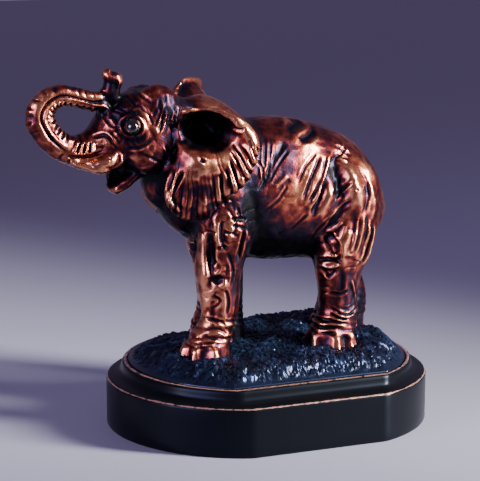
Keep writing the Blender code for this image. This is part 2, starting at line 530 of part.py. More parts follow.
def casting(home, shaping):
    """The elephant and the earth under it, as one skin."""
    flesh = [
        limb("torso", upright_stations(TORSO), shaping, 48, 40, True),
        limb("head", upright_stations(HEAD), shaping, 40, 36, True),
        limb("trunk_root", TRUNK[:4], shaping, 20, 28),
        limb("near_foreleg", NEAR_FORELEG, shaping),
        limb("far_foreleg", FAR_FORELEG, shaping),
        limb("near_hindleg", NEAR_HINDLEG, shaping),
        limb("far_hindleg", FAR_HINDLEG, shaping),
    ]
    flesh += [ball("mass", place, radii, shaping) for place, radii in MASSES]
    flesh += [ball("dome", place, radii, shaping) for place, radii in DOMES]
    body = fuse("body", flesh, 1.5, 14, shaping)

    parts = [
        body,
        limb("trunk", TRUNK, shaping, 110, 28),
        limb("jaw", JAW, shaping, 20, 24),
        limb("far_lip", FAR_LIP, shaping, 16, 16),
        limb("near_tusk", NEAR_TUSK, shaping, 20, 16),
        limb("far_tusk", FAR_TUSK, shaping, 20, 16),
        limb("tail", TAIL, shaping, 40, 16),
        ear("near_ear", "near", shaping),
        ear("far_ear", "far", shaping),
        ground(shaping),
    ]
    parts += [ball("lip", place, radii, shaping, (0.0, 30.0, 0.0)) for place, radii in TRUNK_LIPS]
    parts.append(ring("lip_ring", *TRUNK_LIP_RING, shaping, (0.0, 30.0, 0.0)))
    for name, (x, y, radius) in FEET.items():
        outer = -1.0 if name.startswith("near") else 1.0
        bearings = NAIL_BEARINGS if name.endswith("fore") else HIND_NAIL_BEARINGS
        for bearing in bearings:
            turn = math.radians(bearing)
            px = x - (radius - 0.6) * math.cos(turn)
            py = y + outer * (radius - 0.6) * math.sin(turn)
            spin = (0.0, 0.0, -outer * bearing)
            parts.append(ball("nail", (px, py, PLATEAU_Z + 2.6), NAIL_RADII, shaping, spin))
    skin = fuse("elephant", parts, 1.15, 2, home)

    cutter = ball("mouth_hollow", *MOUTH, shaping, (0.0, -35.0, 0.0))
    cutter.display_type = "WIRE"
    cutter.hide_render = True
    cut = skin.modifiers.new("mouth", "BOOLEAN")
    cut.operation = "DIFFERENCE"
    cut.solver = "EXACT"
    cut.object = cutter
    settle(skin)

    hollow_near_ear(skin, 6.0)
    carve_face(skin)
    carve_trunk(skin)
    carve_hide(skin)
    eye_radii = (EYE_RADIUS, 3.2, EYE_RADIUS)
    eyes = [ball("eye", (EYE[0], EYE[1] * s, EYE[2]), eye_radii, shaping) for s in (-1.0, 1.0)]
    skin = fuse("elephant", [skin] + eyes, 1.0, 1, home)
    skin.name = "elephant"
    thinner = skin.modifiers.new("fewer facets", "DECIMATE")
    thinner.ratio = TRIANGLES / sum(len(p.vertices) - 2 for p in skin.data.polygons)
    settle(skin)
    points, _ = arrays_of(skin)
    points[:, 2] = np.maximum(points[:, 2], SEAT_Z + GAP)
    skin.data.vertices.foreach_set("co", (points * MM).ravel())
    skin.data.update()
    return skin


def material(name, colour, metallic, roughness):
    made = bpy.data.materials.new(name)
    made.use_nodes = True
    shader = made.node_tree.nodes["Principled BSDF"]
    shader.inputs["Base Color"].default_value = (*colour, 1.0)
    shader.inputs["Metallic"].default_value = metallic
    shader.inputs["Roughness"].default_value = roughness
    return made


def main():
    for old in list(bpy.data.objects):
        bpy.data.objects.remove(old)
    home = bpy.data.collections.new("elephant sculpture")
    shaping = bpy.data.collections.new("cutters")
    bpy.context.scene.collection.children.link(home)
    bpy.context.scene.collection.children.link(shaping)
    shaping.hide_render = True

    figure = casting(home, shaping)
    base = plinth(home)
    figure.data.materials.append(material("coppered_resin", (0.30, 0.13, 0.065), 1.0, 0.32))
    base.data.materials.append(material("black_lacquer", (0.012, 0.013, 0.02), 0.0, 0.22))
    for made in (figure, base):
        made.data.shade_smooth()
    base.data.set_sharp_from_angle(angle=math.radians(32.0))


main()
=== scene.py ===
"""The looks of a coppered resin elephant on a black moulded plinth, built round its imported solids.

The elephant faces -X and its left side faces -Y. The frame's solids are the casting (the elephant in one
with the rough earth) and the plinth. A carved hide, two eyeballs and a mound of broken earth show the
casting, and a finer moulding of the same form shows the plinth."""

import math

import bmesh
import bpy
import numpy as np
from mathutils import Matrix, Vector
from mathutils.bvhtree import BVHTree
from mathutils.kdtree import KDTree


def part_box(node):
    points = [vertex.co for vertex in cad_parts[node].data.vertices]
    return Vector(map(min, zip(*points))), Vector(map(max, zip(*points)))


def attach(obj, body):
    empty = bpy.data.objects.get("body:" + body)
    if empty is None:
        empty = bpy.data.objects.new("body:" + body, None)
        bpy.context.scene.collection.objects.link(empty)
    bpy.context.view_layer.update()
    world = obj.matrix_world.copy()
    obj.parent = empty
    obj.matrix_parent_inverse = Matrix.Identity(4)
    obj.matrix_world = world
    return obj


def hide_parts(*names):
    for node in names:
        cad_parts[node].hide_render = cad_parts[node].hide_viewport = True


bl_info = {
    "name": "Coppered Elephant Sculpture",
    "version": (1, 0, 0),
    "blender": (4, 5, 0),
    "location": "View3D > Sidebar > Elephant",
    "description": "Carves and finishes a cast resin elephant on its rough earth and moulded plinth",
    "category": "Object",
}

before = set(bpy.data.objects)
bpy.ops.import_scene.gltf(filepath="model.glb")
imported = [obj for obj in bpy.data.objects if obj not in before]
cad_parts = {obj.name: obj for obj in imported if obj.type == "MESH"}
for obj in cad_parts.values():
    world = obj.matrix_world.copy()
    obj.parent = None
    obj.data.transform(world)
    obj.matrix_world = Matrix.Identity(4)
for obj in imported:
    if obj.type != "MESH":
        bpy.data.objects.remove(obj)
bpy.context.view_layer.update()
PLINTH_LOW, PLINTH_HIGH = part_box("plinth")
MM = 0.001

# Sizes and places are in millimetres unless a comment says otherwise.

# The plinth's outline, each measure at its edge and at its rim's inner edge, and the moulded profile that
# runs up from its underside as (inset, height).
HALF_LENGTH = (round(PLINTH_HIGH.x / MM, 2), 74.6)
HALF_WIDTH = (round(PLINTH_HIGH.y / MM, 2), 57.6)
STRAIGHT_HALF = (36.8, 41.8)
RIM_INSET = 10.4
PLINTH_PROFILE = [
    (0.9, 0.0), (0.25, 0.25), (0.0, 0.9), (0.0, 6.0), (0.0, 12.0), (0.0, 18.0), (0.0, 23.6), (0.1, 24.3),
    (0.45, 24.85), (1.0, 25.25), (2.2, 25.6), (3.6, 25.8), (5.0, 26.1), (6.1, 26.6), (7.0, 27.3), (7.6, 28.2),
    (7.95, 29.3), (8.1, 30.4), (8.35, 31.5), (8.8, 32.2), (9.5, 32.65), (10.3, 32.8), (10.9, 32.65),
    (11.25, 32.2), (11.3, 31.8),
]
RUBBED_EDGES = ((24.85, 0.5), (32.65, 0.3))  # the moulding's two sharp edges: height and half width

# The earth: how far its edge lies in from the plinth's, its height at the edge and on top, how wide its
# slope is, and the level that its underside rests at.
GROUND_INSET = 11.9
GROUND_EDGE = 33.4
PLATEAU = 41.6
SLOPE_WIDTH = 10.0
SEAT = 32.1
CUT_ABOVE_GROUND = 0.7  # where the figure is cut out of the earth
FEET_SUNK = 3.2  # how far the cut feet are then drawn down into it

# The stage, in metres and degrees: the floor's width, what the lights are aimed at, the soft boxes' places,
# (width, height) and colours, and the camera.
FLOOR_WIDTH = 6.0
AIM = (-0.01, 0.0, 0.11)
GRID_SPREAD = 44.0
KEY_PLACE, KEY_SIZE, KEY_COLOUR = (0.61, -0.54, 0.42), (0.14, 0.75), (1.0, 0.96, 0.94)
FILL_PLACE, FILL_SIZE, FILL_COLOUR = (-0.95, -0.35, 0.35), (1.0, 0.7), (0.66, 0.55, 1.0)
EDGE_PLACE, EDGE_SIZE, EDGE_COLOUR = (-0.8, -0.1, 0.25), (0.08, 0.5), (1.0, 0.86, 0.9)
CAMERA_PLACE = (-0.4017, -0.9060, 0.2893)
CAMERA_TILT = 11.14  # degrees down
CAMERA_TURN = 23.1  # degrees round to the left
CAMERA_LENS, SENSOR_WIDTH = 145.2, 36.0

# The trunk's middle line, from the lip round to the tip: (x, y, z, half depth).
TRUNK_LINE = [
    (-95.0, 0.0, 146.6, 9.4), (-101.3, 0.0, 146.8, 8.8), (-107.3, 0.0, 148.0, 7.3),
    (-113.4, 0.0, 151.1, 7.0), (-119.1, 0.0, 157.5, 7.3), (-122.2, 0.0, 165.3, 7.5),
    (-118.8, 0.0, 172.3, 6.5), (-113.2, -0.5, 175.3, 5.7), (-105.1, -1.2, 174.6, 5.2),
    (-99.6, -2.0, 173.0, 5.1), (-94.5, -2.6, 172.0, 5.1), (-89.6, -3.0, 172.9, 4.8),
    (-86.2, -3.2, 176.0, 4.5), (-85.0, -3.3, 180.2, 4.4), (-84.7, -3.3, 184.4, 4.9),
]
CURL_CENTRE = (-105.0, 0.0, 163.0)
NOSTRILS = ((-85.2, -5.0, 185.8), (-85.2, -1.6, 185.8))

# The long grooves (negative) and the ridge on the trunk's sides: depth, where each runs between facing out of
# the curl (-1) and into it (1), its half width there, and where along the trunk it eases in and out.
TRUNK_GROOVES = [
    (-1.15, -0.08, 0.1, (13.0, 24.0), (-82.0, -74.0)), (0.35, 0.12, 0.09, (13.0, 24.0), (-82.0, -74.0)),
    (-0.5, 0.27, 0.06, (18.0, 28.0), (-80.0, -66.0)),
]

EYE = (-79.6, 16.2, 160.2)  # the right eye's middle, mirrored for the left
EYE_WAY = (-0.16, 1.0, 0.02)  # the way that eye looks
EYE_CUT = 0.45  # where its hidden back is cut away, in radii behind its middle
CORNEA_START = 0.62  # where its clear front begins to rise, in radii in front of its middle
CORNEA_RISE = 0.45
FACE_REAR = -66.0  # the face's carving lies in front of this x
RIGHT_STRIDE = 15.5  # how far the right legs stand behind the left ones
RIGHT_LEG_TOP = 114.0  # the strokes on the right legs lie below this

# The finished skin's triangles, how far round a place its shelter is looked for, and along how many rays.
SKIN_FACES = 192000.0
SKY_REACH = 45.0
SKY_RAYS = 40

# Each ear's plane, by side (-1 is the left): its root (x, y), its swing away from the body, its lean back and
# its scale in height, each (below, above) its middle, its spread, and how much deeper its hollow goes.
EAR_ROOTS = {
    -1.0: (-62.0, -21.0, math.radians(14.0), (0.0, 0.0), (1.0, 1.0), 1.0, 6.0),
    1.0: (-57.0, 23.2, math.radians(30.0), (-0.12, 1.05), (1.21, 1.28), 0.97, 0.0),
}
# Each ear's hollow, by side: how far back its middle is, its half width, its middle's height, its half
# height, how much it falls toward the back, and how much softer its lower and rear walls are.
EAR_BOWLS = {-1.0: (17.4, 10.9, 157.8, 9.2, 0.12, 0.8), 1.0: (19.6, 12.9, 155.6, 11.4, 0.0, 0.0)}
EAR_CENTRE = (17.0, 147.0)
EAR_OUTLINE = [  # (back, height), from the top of the root round
    (5.0, 169.8), (11.6, 170.2), (18.8, 169.8), (26.0, 168.8), (32.0, 166.2), (37.0, 163.2), (40.8, 159.6),
    (43.8, 155.0), (45.0, 150.4), (44.2, 144.5), (41.8, 138.2), (38.2, 131.6), (33.6, 127.2), (27.0, 123.2),
    (21.5, 120.6), (17.6, 114.6), (10.0, 112.4), (3.8, 114.0), (-1.6, 119.4), (-3.8, 126.5), (-1.4, 137.0),
    (2.6, 148.0), (3.8, 160.0),
]
RIB_ORIGIN = (12.0, 188.0)  # (back, height) of the place that the ear's fine ribs fan out from
FRONT_RIB_REACH, REAR_RIB_REACH = 64.0, 50.0  # how far from that place the ribs' spacing is measured
REAR_RIB_SHARE = 1.35  # the rear ribs' spacing, as a share of the front ones'
EAR_DOME = ((13.0, 138.5), (15.0, 10.5))  # the dome below the hollow: its middle and half sizes

# Soft ovals in the side view, each (middle (x, z), half sizes, share). In the first of them a negative share
# is painted shade laid over patina, and a positive one a painted highlight laid over wear.
PATINA_AND_PAINTED_LIGHT = [
    ((-2.0, 98.0), (24.0, 12.0), -0.5),  # belly
    ((-16.0, 110.0), (9.0, 17.0), -0.45),  # behind the foreleg
    ((-60.0, 117.0), (13.0, 17.0), -0.5),  # neck and chest
    ((-68.0, 144.0), (12.0, 7.0), -0.3),  # cheek
    ((-84.0, 171.0), (10.0, 6.0), -0.3),  # forehead
    ((-61.0, 173.0), (11.0, 8.0), -0.6),  # crown
    ((-81.0, 131.0), (9.0, 7.0), -0.4),  # jaw
    ((-122.0, 150.0), (8.0, 10.0), -0.3),  # the trunk's outer bend
    ((-127.0, 165.0), (4.0, 11.0), -0.5),  # the trunk's far end
    ((-106.0, 179.0), (16.0, 2.5), -0.5),  # the trunk's top
    ((-86.0, 181.0), (4.0, 8.0), -0.75),  # the trunk's tip
    ((-62.0, 169.0), (3.5, 7.0), -0.1),  # temple
    ((32.0, 70.0), (8.0, 12.0), -0.3),  # hind shin
    ((38.5, 58.0), (5.0, 10.0), -0.5),  # back of the hind foot
    ((48.0, 104.0), (4.0, 14.0), -0.2),  # back of the thigh
    ((-29.0, 78.0), (4.5, 22.0), -0.45),  # back of the foreleg
    ((-47.0, 82.0), (1.8, 26.0), -0.3),  # front edge of the foreleg
    ((-37.0, 98.0), (4.0, 6.0), -0.1),  # middle of the foreleg
    ((52.0, 130.0), (5.0, 16.0), -0.5),  # rump
    ((-24.0, 119.0), (8.0, 13.0), -0.6),  # under the ear's tip
    ((26.0, 153.0), (22.0, 5.0), -0.25),  # back
    ((1.0, 140.0), (6.0, 12.0), -0.5),  # front of the flank
    ((-12.0, 142.0), (8.0, 12.0), -0.3),  # shoulder
    ((25.5, 130.0), (3.4, 14.0), -0.45),  # between flank and haunch
    ((13.5, 140.0), (5.0, 6.0), 0.25),  # the flank's crest
    ((4.5, 124.5), (5.0, 6.0), 0.3),  # below it
    ((34.0, 129.0), (5.0, 11.0), 0.3),  # haunch
    ((30.0, 93.0), (8.0, 8.0), 0.3),  # thigh
    ((-93.0, 144.5), (9.0, 4.0), 0.5),  # tusk's root
    ((-101.0, 142.8), (8.0, 3.0), 0.65),  # and in front of it
    ((-73.0, 164.5), (3.0, 4.5), 0.65),  # brow
    ((-70.8, 157.0), (3.0, 2.8), 0.4),  # pouch behind the eye
    ((-101.0, 150.0), (9.0, 4.0), 0.3),  # upper lip
    ((-119.5, 166.0), (3.5, 9.0), 0.45),  # side of the trunk
    ((-112.0, 173.0), (8.0, 2.5), 0.3),  # and above the curl
    ((-44.3, 84.0), (2.2, 26.0), 0.35),  # front of the foreleg
    ((-33.0, 110.0), (6.0, 7.0), 0.25),  # elbow
    ((-35.0, 66.0), (4.0, 12.0), 0.25),  # lower foreleg
]
SOFTENED = [((-7.0, 139.0), (10.0, 14.0), 1.0)]  # where the left side's folds are eased
EAR_CORNER = [((-34.5, 176.0), (4.5, 4.5), 1.0)]  # the right ear's front corner
CORNER_SHIFT = (1.7, 0.0, -1.7)  # how far that corner is drawn in
QUIET = [  # where the skin is smoother
    ((31.5, 94.0), (6.0, 10.0), 1.0), ((33.5, 128.0), (5.0, 12.0), 0.9), ((6.0, 125.0), (6.0, 7.0), 0.7),
    ((-8.0, 139.0), (8.0, 13.0), 0.9),
]
EAR_PATINA_AND_PAINTED_LIGHT = [  # painted highlights and painted shade over patina, middles as (back, height) in the ear's plane
    ((13.5, 160.5), (9.0, 7.0), -0.6), ((27.0, 150.0), (6.0, 8.0), 0.2), ((34.5, 161.0), (4.0, 5.0), 0.3),
    ((39.5, 155.0), (4.5, 6.0), 0.45), ((35.0, 144.0), (7.0, 8.0), 0.3), ((13.0, 142.0), (8.0, 4.0), 0.25),
    ((15.0, 134.5), (9.0, 4.0), 0.12), ((9.0, 122.0), (13.0, 10.0), -0.25), ((4.5, 142.5), (6.0, 5.0), -0.4),
    ((21.0, 149.5), (8.0, 4.0), 0.25), ((4.0, 149.0), (4.0, 6.0), -0.3), ((22.0, 144.0), (6.0, 3.0), -0.2),
]
DOME_FILL = [((12.0, 135.0), (10.0, 6.0), 1.0)]  # where the left ear's dome is pressed out

# Carved strokes on the left side, each (half width, depth, places (x, z)). A negative depth is a ridge.
FLANK_STROKES = [
    (0.8, 0.7, ((17.5, 143.0), (9.5, 136.5), (4.5, 128.5))),
    (1.0, 1.1, ((18.5, 140.5), (11.5, 129.5), (7.5, 120.0))),
    (1.1, 1.3, ((22.5, 140.0), (17.0, 128.0), (10.5, 118.0))),
    (1.1, 1.2, ((26.0, 140.5), (20.0, 130.0), (15.0, 117.5))),
    (1.4, 1.0, ((30.0, 142.0), (21.5, 131.0), (17.0, 120.5), (12.5, 111.0))),
    (0.7, 0.45, ((2.5, 145.5), (-5.0, 138.5), (-12.5, 128.0))),
    (1.1, 0.35, ((0.5, 149.0), (-8.5, 138.0), (-15.0, 127.0))),
    (0.9, 0.4, ((-5.0, 145.0), (-12.0, 135.0), (-17.0, 126.0))),
    (1.4, -0.9, ((-1.0, 132.5), (-8.5, 127.0))),
    (0.9, -0.4, ((-11.5, 150.0), (-14.0, 141.0), (-16.0, 132.0))),
    (0.9, -0.45, ((-8.0, 151.0), (-11.0, 141.0), (-13.0, 132.0))),
    (0.8, -0.4, ((-6.0, 149.0), (-8.5, 140.5), (-11.0, 133.0))),
    (0.7, 0.8, ((-22.0, 142.0), (-16.0, 140.0), (-14.0, 130.0))),
    (1.7, 0.8, ((4.5, 154.0), (10.5, 155.5), (16.5, 156.5))),
    (1.5, 0.8, ((9.0, 149.0), (15.5, 150.5), (21.5, 152.5))),
    (0.8, 0.9, ((30.0, 145.0), (33.5, 142.5), (37.0, 140.0))),
    (0.8, 0.8, ((37.0, 144.0), (33.0, 141.5), (28.0, 139.0))),
    (0.8, -0.7, ((28.5, 139.0), (34.5, 137.0))),
    (4.0, -1.1, ((32.0, 137.0), (34.0, 130.0), (36.5, 122.0), (37.0, 114.0))),
    (3.2, 0.9, ((28.0, 137.0), (26.5, 129.0), (27.5, 120.0), (25.0, 112.0))),
    (0.8, 0.9, ((35.5, 129.5), (31.0, 124.5), (25.0, 118.0))),
    (0.8, 0.9, ((35.4, 123.2), (37.0, 123.6))),
    (0.8, 0.25, ((39.5, 135.5), (43.0, 127.5), (43.5, 117.5), (39.5, 109.5))),
    (1.4, -0.7, ((44.5, 126.5), (48.0, 114.0), (46.0, 105.5))),
    (0.9, 0.8, ((34.0, 118.0), (27.0, 112.0), (20.0, 101.0))),
    (0.9, 0.7, ((24.0, 110.0), (17.5, 103.0), (14.0, 95.0))),
    (0.8, 0.6, ((10.0, 112.0), (2.0, 104.0))),
    (0.8, 0.6, ((-1.0, 128.0), (-6.0, 121.0), (-14.0, 115.0))),
]
HIND_STROKES = [
    (5.0, -1.5, ((33.0, 103.0), (31.5, 95.0), (31.0, 88.0))),
    (1.3, -0.9, ((41.0, 110.5), (40.0, 99.0), (37.0, 90.0))),
    (1.0, 0.9, ((38.6, 108.0), (37.2, 97.0), (35.0, 90.0))),
    (1.0, -0.8, ((31.0, 105.0), (28.0, 97.5))),
    (1.0, 1.2, ((22.5, 101.5), (26.5, 96.5), (28.4, 85.0))),
    (1.8, 1.6, ((23.0, 99.5), (22.6, 95.5))),
    (1.1, -0.9, ((21.5, 100.5), (29.5, 107.0))),
    (1.1, 1.5, ((20.5, 86.5), (24.0, 87.2), (28.0, 86.5))),
    (0.9, -0.9, ((20.5, 84.0), (24.0, 82.8), (28.0, 84.2))),
    (0.8, 0.9, ((22.0, 81.5), (24.5, 78.0), (27.0, 81.5))),
    (1.2, 1.1, ((47.5, 104.0), (45.5, 93.5), (41.0, 83.0))),
    (0.9, -0.8, ((44.5, 106.0), (43.5, 95.0), (39.0, 84.5))),
    (0.8, 0.8, ((24.2, 92.5), (26.0, 90.5), (27.5, 91.5))),
    (0.8, 0.7, ((32.5, 91.0), (35.0, 90.2))),
    (0.9, -0.8, ((36.5, 75.0), (40.0, 64.0))),
    (0.8, 0.7, ((25.5, 69.0), (30.0, 68.5), (34.0, 70.0))),
]
FORE_STROKES = [
    (1.9, -1.1, ((-44.6, 106.0), (-44.4, 92.0), (-44.9, 79.0))),
    (1.3, 0.8, ((-42.2, 106.5), (-41.6, 91.0), (-42.2, 76.5))),
    (1.6, -0.9, ((-42.7, 72.0), (-43.4, 65.3), (-41.9, 59.5))),
    (1.8, -0.9, ((-40.0, 112.0), (-39.6, 100.0))),
    (0.9, 0.8, ((-42.3, 108.5), (-41.7, 115.3), (-39.4, 118.0))),
    (0.9, 1.0, ((-37.6, 112.0), (-37.9, 102.5), (-35.0, 97.0))),
    (1.0, 0.9, ((-39.5, 98.2), (-34.5, 98.7))),
    (1.0, 1.0, ((-40.7, 92.3), (-38.9, 88.5), (-40.3, 86.0))),
    (2.2, 1.6, ((-37.0, 83.5), (-40.4, 80.1))),
    (1.6, -1.0, ((-22.5, 104.2), (-20.5, 98.3), (-21.6, 91.8))),
    (1.1, 1.2, ((-25.2, 106.5), (-27.1, 99.3), (-28.4, 92.0))),
    (0.9, 0.9, ((-33.0, 113.2), (-24.0, 112.0))),
    (0.9, 0.9, ((-33.0, 110.0), (-24.5, 107.5))),
    (0.8, 0.8, ((-36.6, 107.0), (-29.5, 104.5))),
    (0.8, 0.8, ((-35.0, 118.5), (-31.0, 112.5), (-31.5, 104.0))),
    (0.8, 0.7, ((-29.5, 119.0), (-27.5, 112.0))),
    (0.9, 0.9, ((-43.5, 61.5), (-39.0, 60.5), (-34.0, 58.0))),
    (0.9, 0.9, ((-44.0, 56.5), (-39.0, 56.0), (-32.5, 52.5))),
    (0.9, 0.8, ((-45.0, 52.5), (-40.0, 51.5), (-34.0, 49.5))),
    (1.2, -0.8, ((-50.5, 48.5), (-47.0, 50.0), (-44.5, 48.8), (-39.0, 49.8))),
    (0.9, 0.8, ((-41.0, 73.5), (-37.5, 70.8), (-39.8, 66.5))),
    (0.9, 0.8, ((-34.7, 76.5), (-33.0, 70.5), (-34.0, 63.0))),
    (0.8, 0.6, ((-34.0, 95.0), (-31.0, 86.0), (-31.5, 78.0))),
]
HEAD_STROKES = [
    (0.7, -0.7, ((-63.0, 171.0), (-65.5, 163.0), (-68.0, 159.0))),
    (0.8, -0.7, ((-61.7, 167.0), (-64.0, 159.5), (-66.2, 155.5))),
    (0.9, 0.8, ((-63.4, 165.5), (-65.6, 158.5))),
    (0.9, -0.8, ((-54.0, 169.0), (-56.8, 163.0))),
    (0.9, -0.7, ((-57.0, 166.5), (-59.8, 161.5))),
    (0.8, 0.8, ((-55.8, 167.0), (-58.4, 161.0))),
    (1.5, -0.8, ((-56.8, 161.5), (-58.0, 157.0))),
    (1.5, -0.7, ((-70.2, 160.5), (-67.4, 156.5))),
    (0.8, 0.7, ((-75.0, 170.0), (-71.0, 165.0), (-69.6, 160.5))),
    (1.0, -0.7, ((-85.0, 163.5), (-81.0, 168.0), (-75.0, 168.5))),
    (0.9, 0.9, ((-63.5, 150.5), (-60.8, 147.0), (-57.4, 149.8))),
    (0.7, -0.6, ((-64.2, 148.8), (-60.6, 145.4), (-57.2, 148.0))),
    (0.7, 0.8, ((-89.0, 157.5), (-85.8, 152.0))),
    (0.7, 0.8, ((-87.2, 158.8), (-83.8, 153.4))),
    (0.7, 0.7, ((-90.2, 155.0), (-87.0, 149.5))),
    (0.8, 0.6, ((-90.5, 164.0), (-88.6, 159.0))),
    (0.8, 0.6, ((-87.3, 165.5), (-86.4, 161.0))),
    (0.7, 0.7, ((-66.8, 168.0), (-69.0, 165.0))),
    (0.7, 0.6, ((-64.9, 173.0), (-66.4, 168.5))),
    (0.9, 0.8, ((-82.5, 149.5), (-76.5, 150.0), (-71.0, 153.5))),
    (0.9, 0.7, ((-85.0, 148.5), (-83.2, 142.5))),
    (0.9, 0.7, ((-76.0, 147.0), (-68.0, 143.0), (-60.0, 140.0))),
    (0.9, 0.6, ((-74.0, 176.0), (-69.0, 171.0))),
    (0.9, 0.6, ((-79.0, 174.0), (-76.0, 170.0))),
]
LIP_STROKES = [
    (0.8, -0.9, ((-107.6, 147.6), (-104.4, 152.6))),
    (0.8, -0.9, ((-104.2, 146.8), (-101.9, 152.2))),
    (0.8, -0.9, ((-101.2, 147.0), (-99.7, 152.6))),
    (0.8, -0.9, ((-98.2, 147.0), (-97.6, 152.4))),
    (0.6, 0.9, ((-105.8, 147.0), (-103.2, 152.4))),
    (0.6, 0.9, ((-102.6, 146.6), (-100.8, 152.4))),
    (0.6, 0.9, ((-99.7, 146.8), (-98.6, 152.6))),
    (0.8, 1.2, ((-110.0, 146.0), (-103.5, 145.6), (-98.0, 146.2), (-93.0, 148.6))),
    (0.7, 0.9, ((-109.0, 143.4), (-104.0, 143.2), (-99.0, 140.6))),
    (1.9, -0.9, ((-98.6, 143.4), (-94.0, 142.8), (-88.6, 145.4))),
    (0.7, 0.9, ((-91.9, 144.9), (-91.1, 144.6))),
    (1.1, 1.0, ((-86.2, 147.5), (-86.6, 142.5), (-90.5, 138.6))),
    (0.9, 0.7, ((-97.0, 154.4), (-92.0, 155.8), (-88.8, 150.5))),
    (0.9, 0.6, ((-97.0, 150.0), (-92.0, 150.0))),
]
LEFT_STROKES = [  # every list on the left side, with its strength
    (FLANK_STROKES, 0.66), (HIND_STROKES, 0.75), (FORE_STROKES, 0.7), (HEAD_STROKES, 0.66),
    (LIP_STROKES, 0.85),
]
RIGHT_STRENGTH = 0.5  # of the same strokes on the right side
EAR_STROKES = [  # in the ear's plane: places are (back, height)
    (1.2, -0.6, ((5.5, 163.2), (9.5, 164.4), (12.5, 167.0), (18.0, 168.4), (25.0, 167.2))),
    (0.9, 0.9, ((31.0, 159.5), (33.5, 158.6), (36.0, 158.8))),
    (0.8, 0.7, ((38.5, 154.0), (40.5, 149.5))),
    (0.9, 0.9, ((14.0, 144.5), (16.5, 143.2))),
    (1.1, -0.9, ((4.0, 139.0), (-0.5, 127.0))),
    (0.9, 1.0, ((5.6, 138.0), (1.4, 126.0), (2.0, 118.0))),
    (1.2, -0.9, ((-2.0, 125.5), (2.0, 120.0), (5.5, 117.0))),
]


def ease(value, low, high):
    """0 up to low, 1 from high on, and a smooth step between them."""
    t = np.clip((value - low) / (high - low), 0.0, 1.0)
    return t * t * (3.0 - 2.0 * t)


def bell(value, middle, wide):
    """1 at the middle, falling away smoothly on both sides of it."""
    return np.exp(-(((value - middle) / wide) ** 2))


def unit(vectors):
    return vectors / np.maximum(np.linalg.norm(vectors, axis=-1, keepdims=True), 1e-9)


def linear(hex_colour):
    """An sRGB hex colour as linear red, green, blue."""
    parts = [int(hex_colour[i:i + 2], 16) / 255.0 for i in (1, 3, 5)]
    return tuple(c / 12.92 if c <= 0.04045 else ((c + 0.055) / 1.055) ** 2.4 for c in parts)


def cell_numbers(cells, seed):
    """One whole number for each cell of a grid, from its two or three places in it and a seed."""
    return cells @ np.array([374761393, 668265263, 2147483647])[:cells.shape[1]] + seed * 974634777


def scrambled(numbers):
    """Whole numbers mixed so that neighbours have nothing in common, the same ones each time."""
    numbers = (numbers ^ (numbers >> 13)) * 1274126177 & 0x7FFFFFFF
    return numbers ^ (numbers >> 16)


def lumps(points, size, seed):
    """Smooth noise from about -1 to 1, in lumps of the given size (one number, or one for each axis)."""
    cell = points / np.asarray(size, float) + 31.7 * seed
    base = np.floor(cell).astype(np.int64)
    part = cell - base
    part = part * part * (3.0 - 2.0 * part)
    total = np.zeros(len(points))
    for corner in range(8):
        step = np.array([corner & 1, corner >> 1 & 1, corner >> 2 & 1])
        mixed = scrambled(cell_numbers(base + step, seed)) & 0xFFFF
        total += (mixed / 32767.5 - 1.0) * np.prod(np.where(step == 1, part, 1.0 - part), axis=1)
    return 1.5 * total


def smooth_line(rows, count):
    """Evenly spread places on the smooth curve through rows of numbers."""
    rows = np.array(rows, float)
    steps = np.linalg.norm(np.diff(rows[:, :3], axis=0), axis=1)
    knots = np.concatenate([[0.0], np.cumsum(steps)])
    slopes = np.gradient(rows, knots, axis=0)
    places = np.linspace(0.0, knots[-1], count)
    index = np.clip(np.searchsorted(knots, places, side="right") - 1, 0, len(knots) - 2)
    span = (knots[index + 1] - knots[index])[:, None]
    t = (places - knots[index])[:, None] / span
    start, end = rows[index], rows[index + 1]
    leave, arrive = slopes[index] * span, slopes[index + 1] * span
    turn = t * t * (3.0 - 2.0 * t)
    return start + turn * (end - start) + t * (1.0 - t) ** 2 * leave + t * t * (t - 1.0) * arrive


def skin_of(piece):
    """The piece's points in millimetres, and the way that its surface faces at each."""
    count = len(piece.data.vertices)
    points = np.empty(count * 3)
    piece.data.vertices.foreach_get("co", points)
    normals = np.empty(count * 3)
    piece.data.vertex_normals.foreach_get("vector", normals)
    return points.reshape(-1, 3) / MM, normals.reshape(-1, 3)


def place_points(piece, points):
    piece.data.vertices.foreach_set("co", (points * MM).astype(np.float32).ravel())
    piece.data.update()


def press(piece, amounts):
    """Moves the surface in or out along its own normals, by millimetres."""
    points, normals = skin_of(piece)
    place_points(piece, points + normals * amounts[:, None])


def edges_of(piece):
    """The numbers of the two points that each edge joins."""
    ends = np.empty(len(piece.data.edges) * 2, np.int64)
    piece.data.edges.foreach_get("vertices", ends)
    return ends.reshape(-1, 2)


def relax(values, ends, rounds, share=0.5):
    """Values on a mesh's points, each drawn toward the mean of its neighbours."""
    flat = values.reshape(len(values), -1)
    count = np.bincount(ends.ravel(), minlength=len(flat)).astype(float)
    count = np.maximum(count, 1.0)
    for _ in range(rounds):
        mean = np.empty_like(flat)
        for column in range(flat.shape[1]):
            near = np.bincount(ends[:, 0], flat[ends[:, 1], column], len(flat))
            near += np.bincount(ends[:, 1], flat[ends[:, 0], column], len(flat))
            mean[:, column] = near / count
        flat = flat + share * (mean - flat)
    return flat.reshape(values.shape)


def even_out(piece, rounds):
    """Eases facets out of the surface and keeps its bulk: each easing step is followed by a swelling one."""
    points, _ = skin_of(piece)
    ends = edges_of(piece)
    for _ in range(rounds):
        points = relax(points, ends, 1, 0.55)
        points = relax(points, ends, 1, -0.575)
    place_points(piece, points)


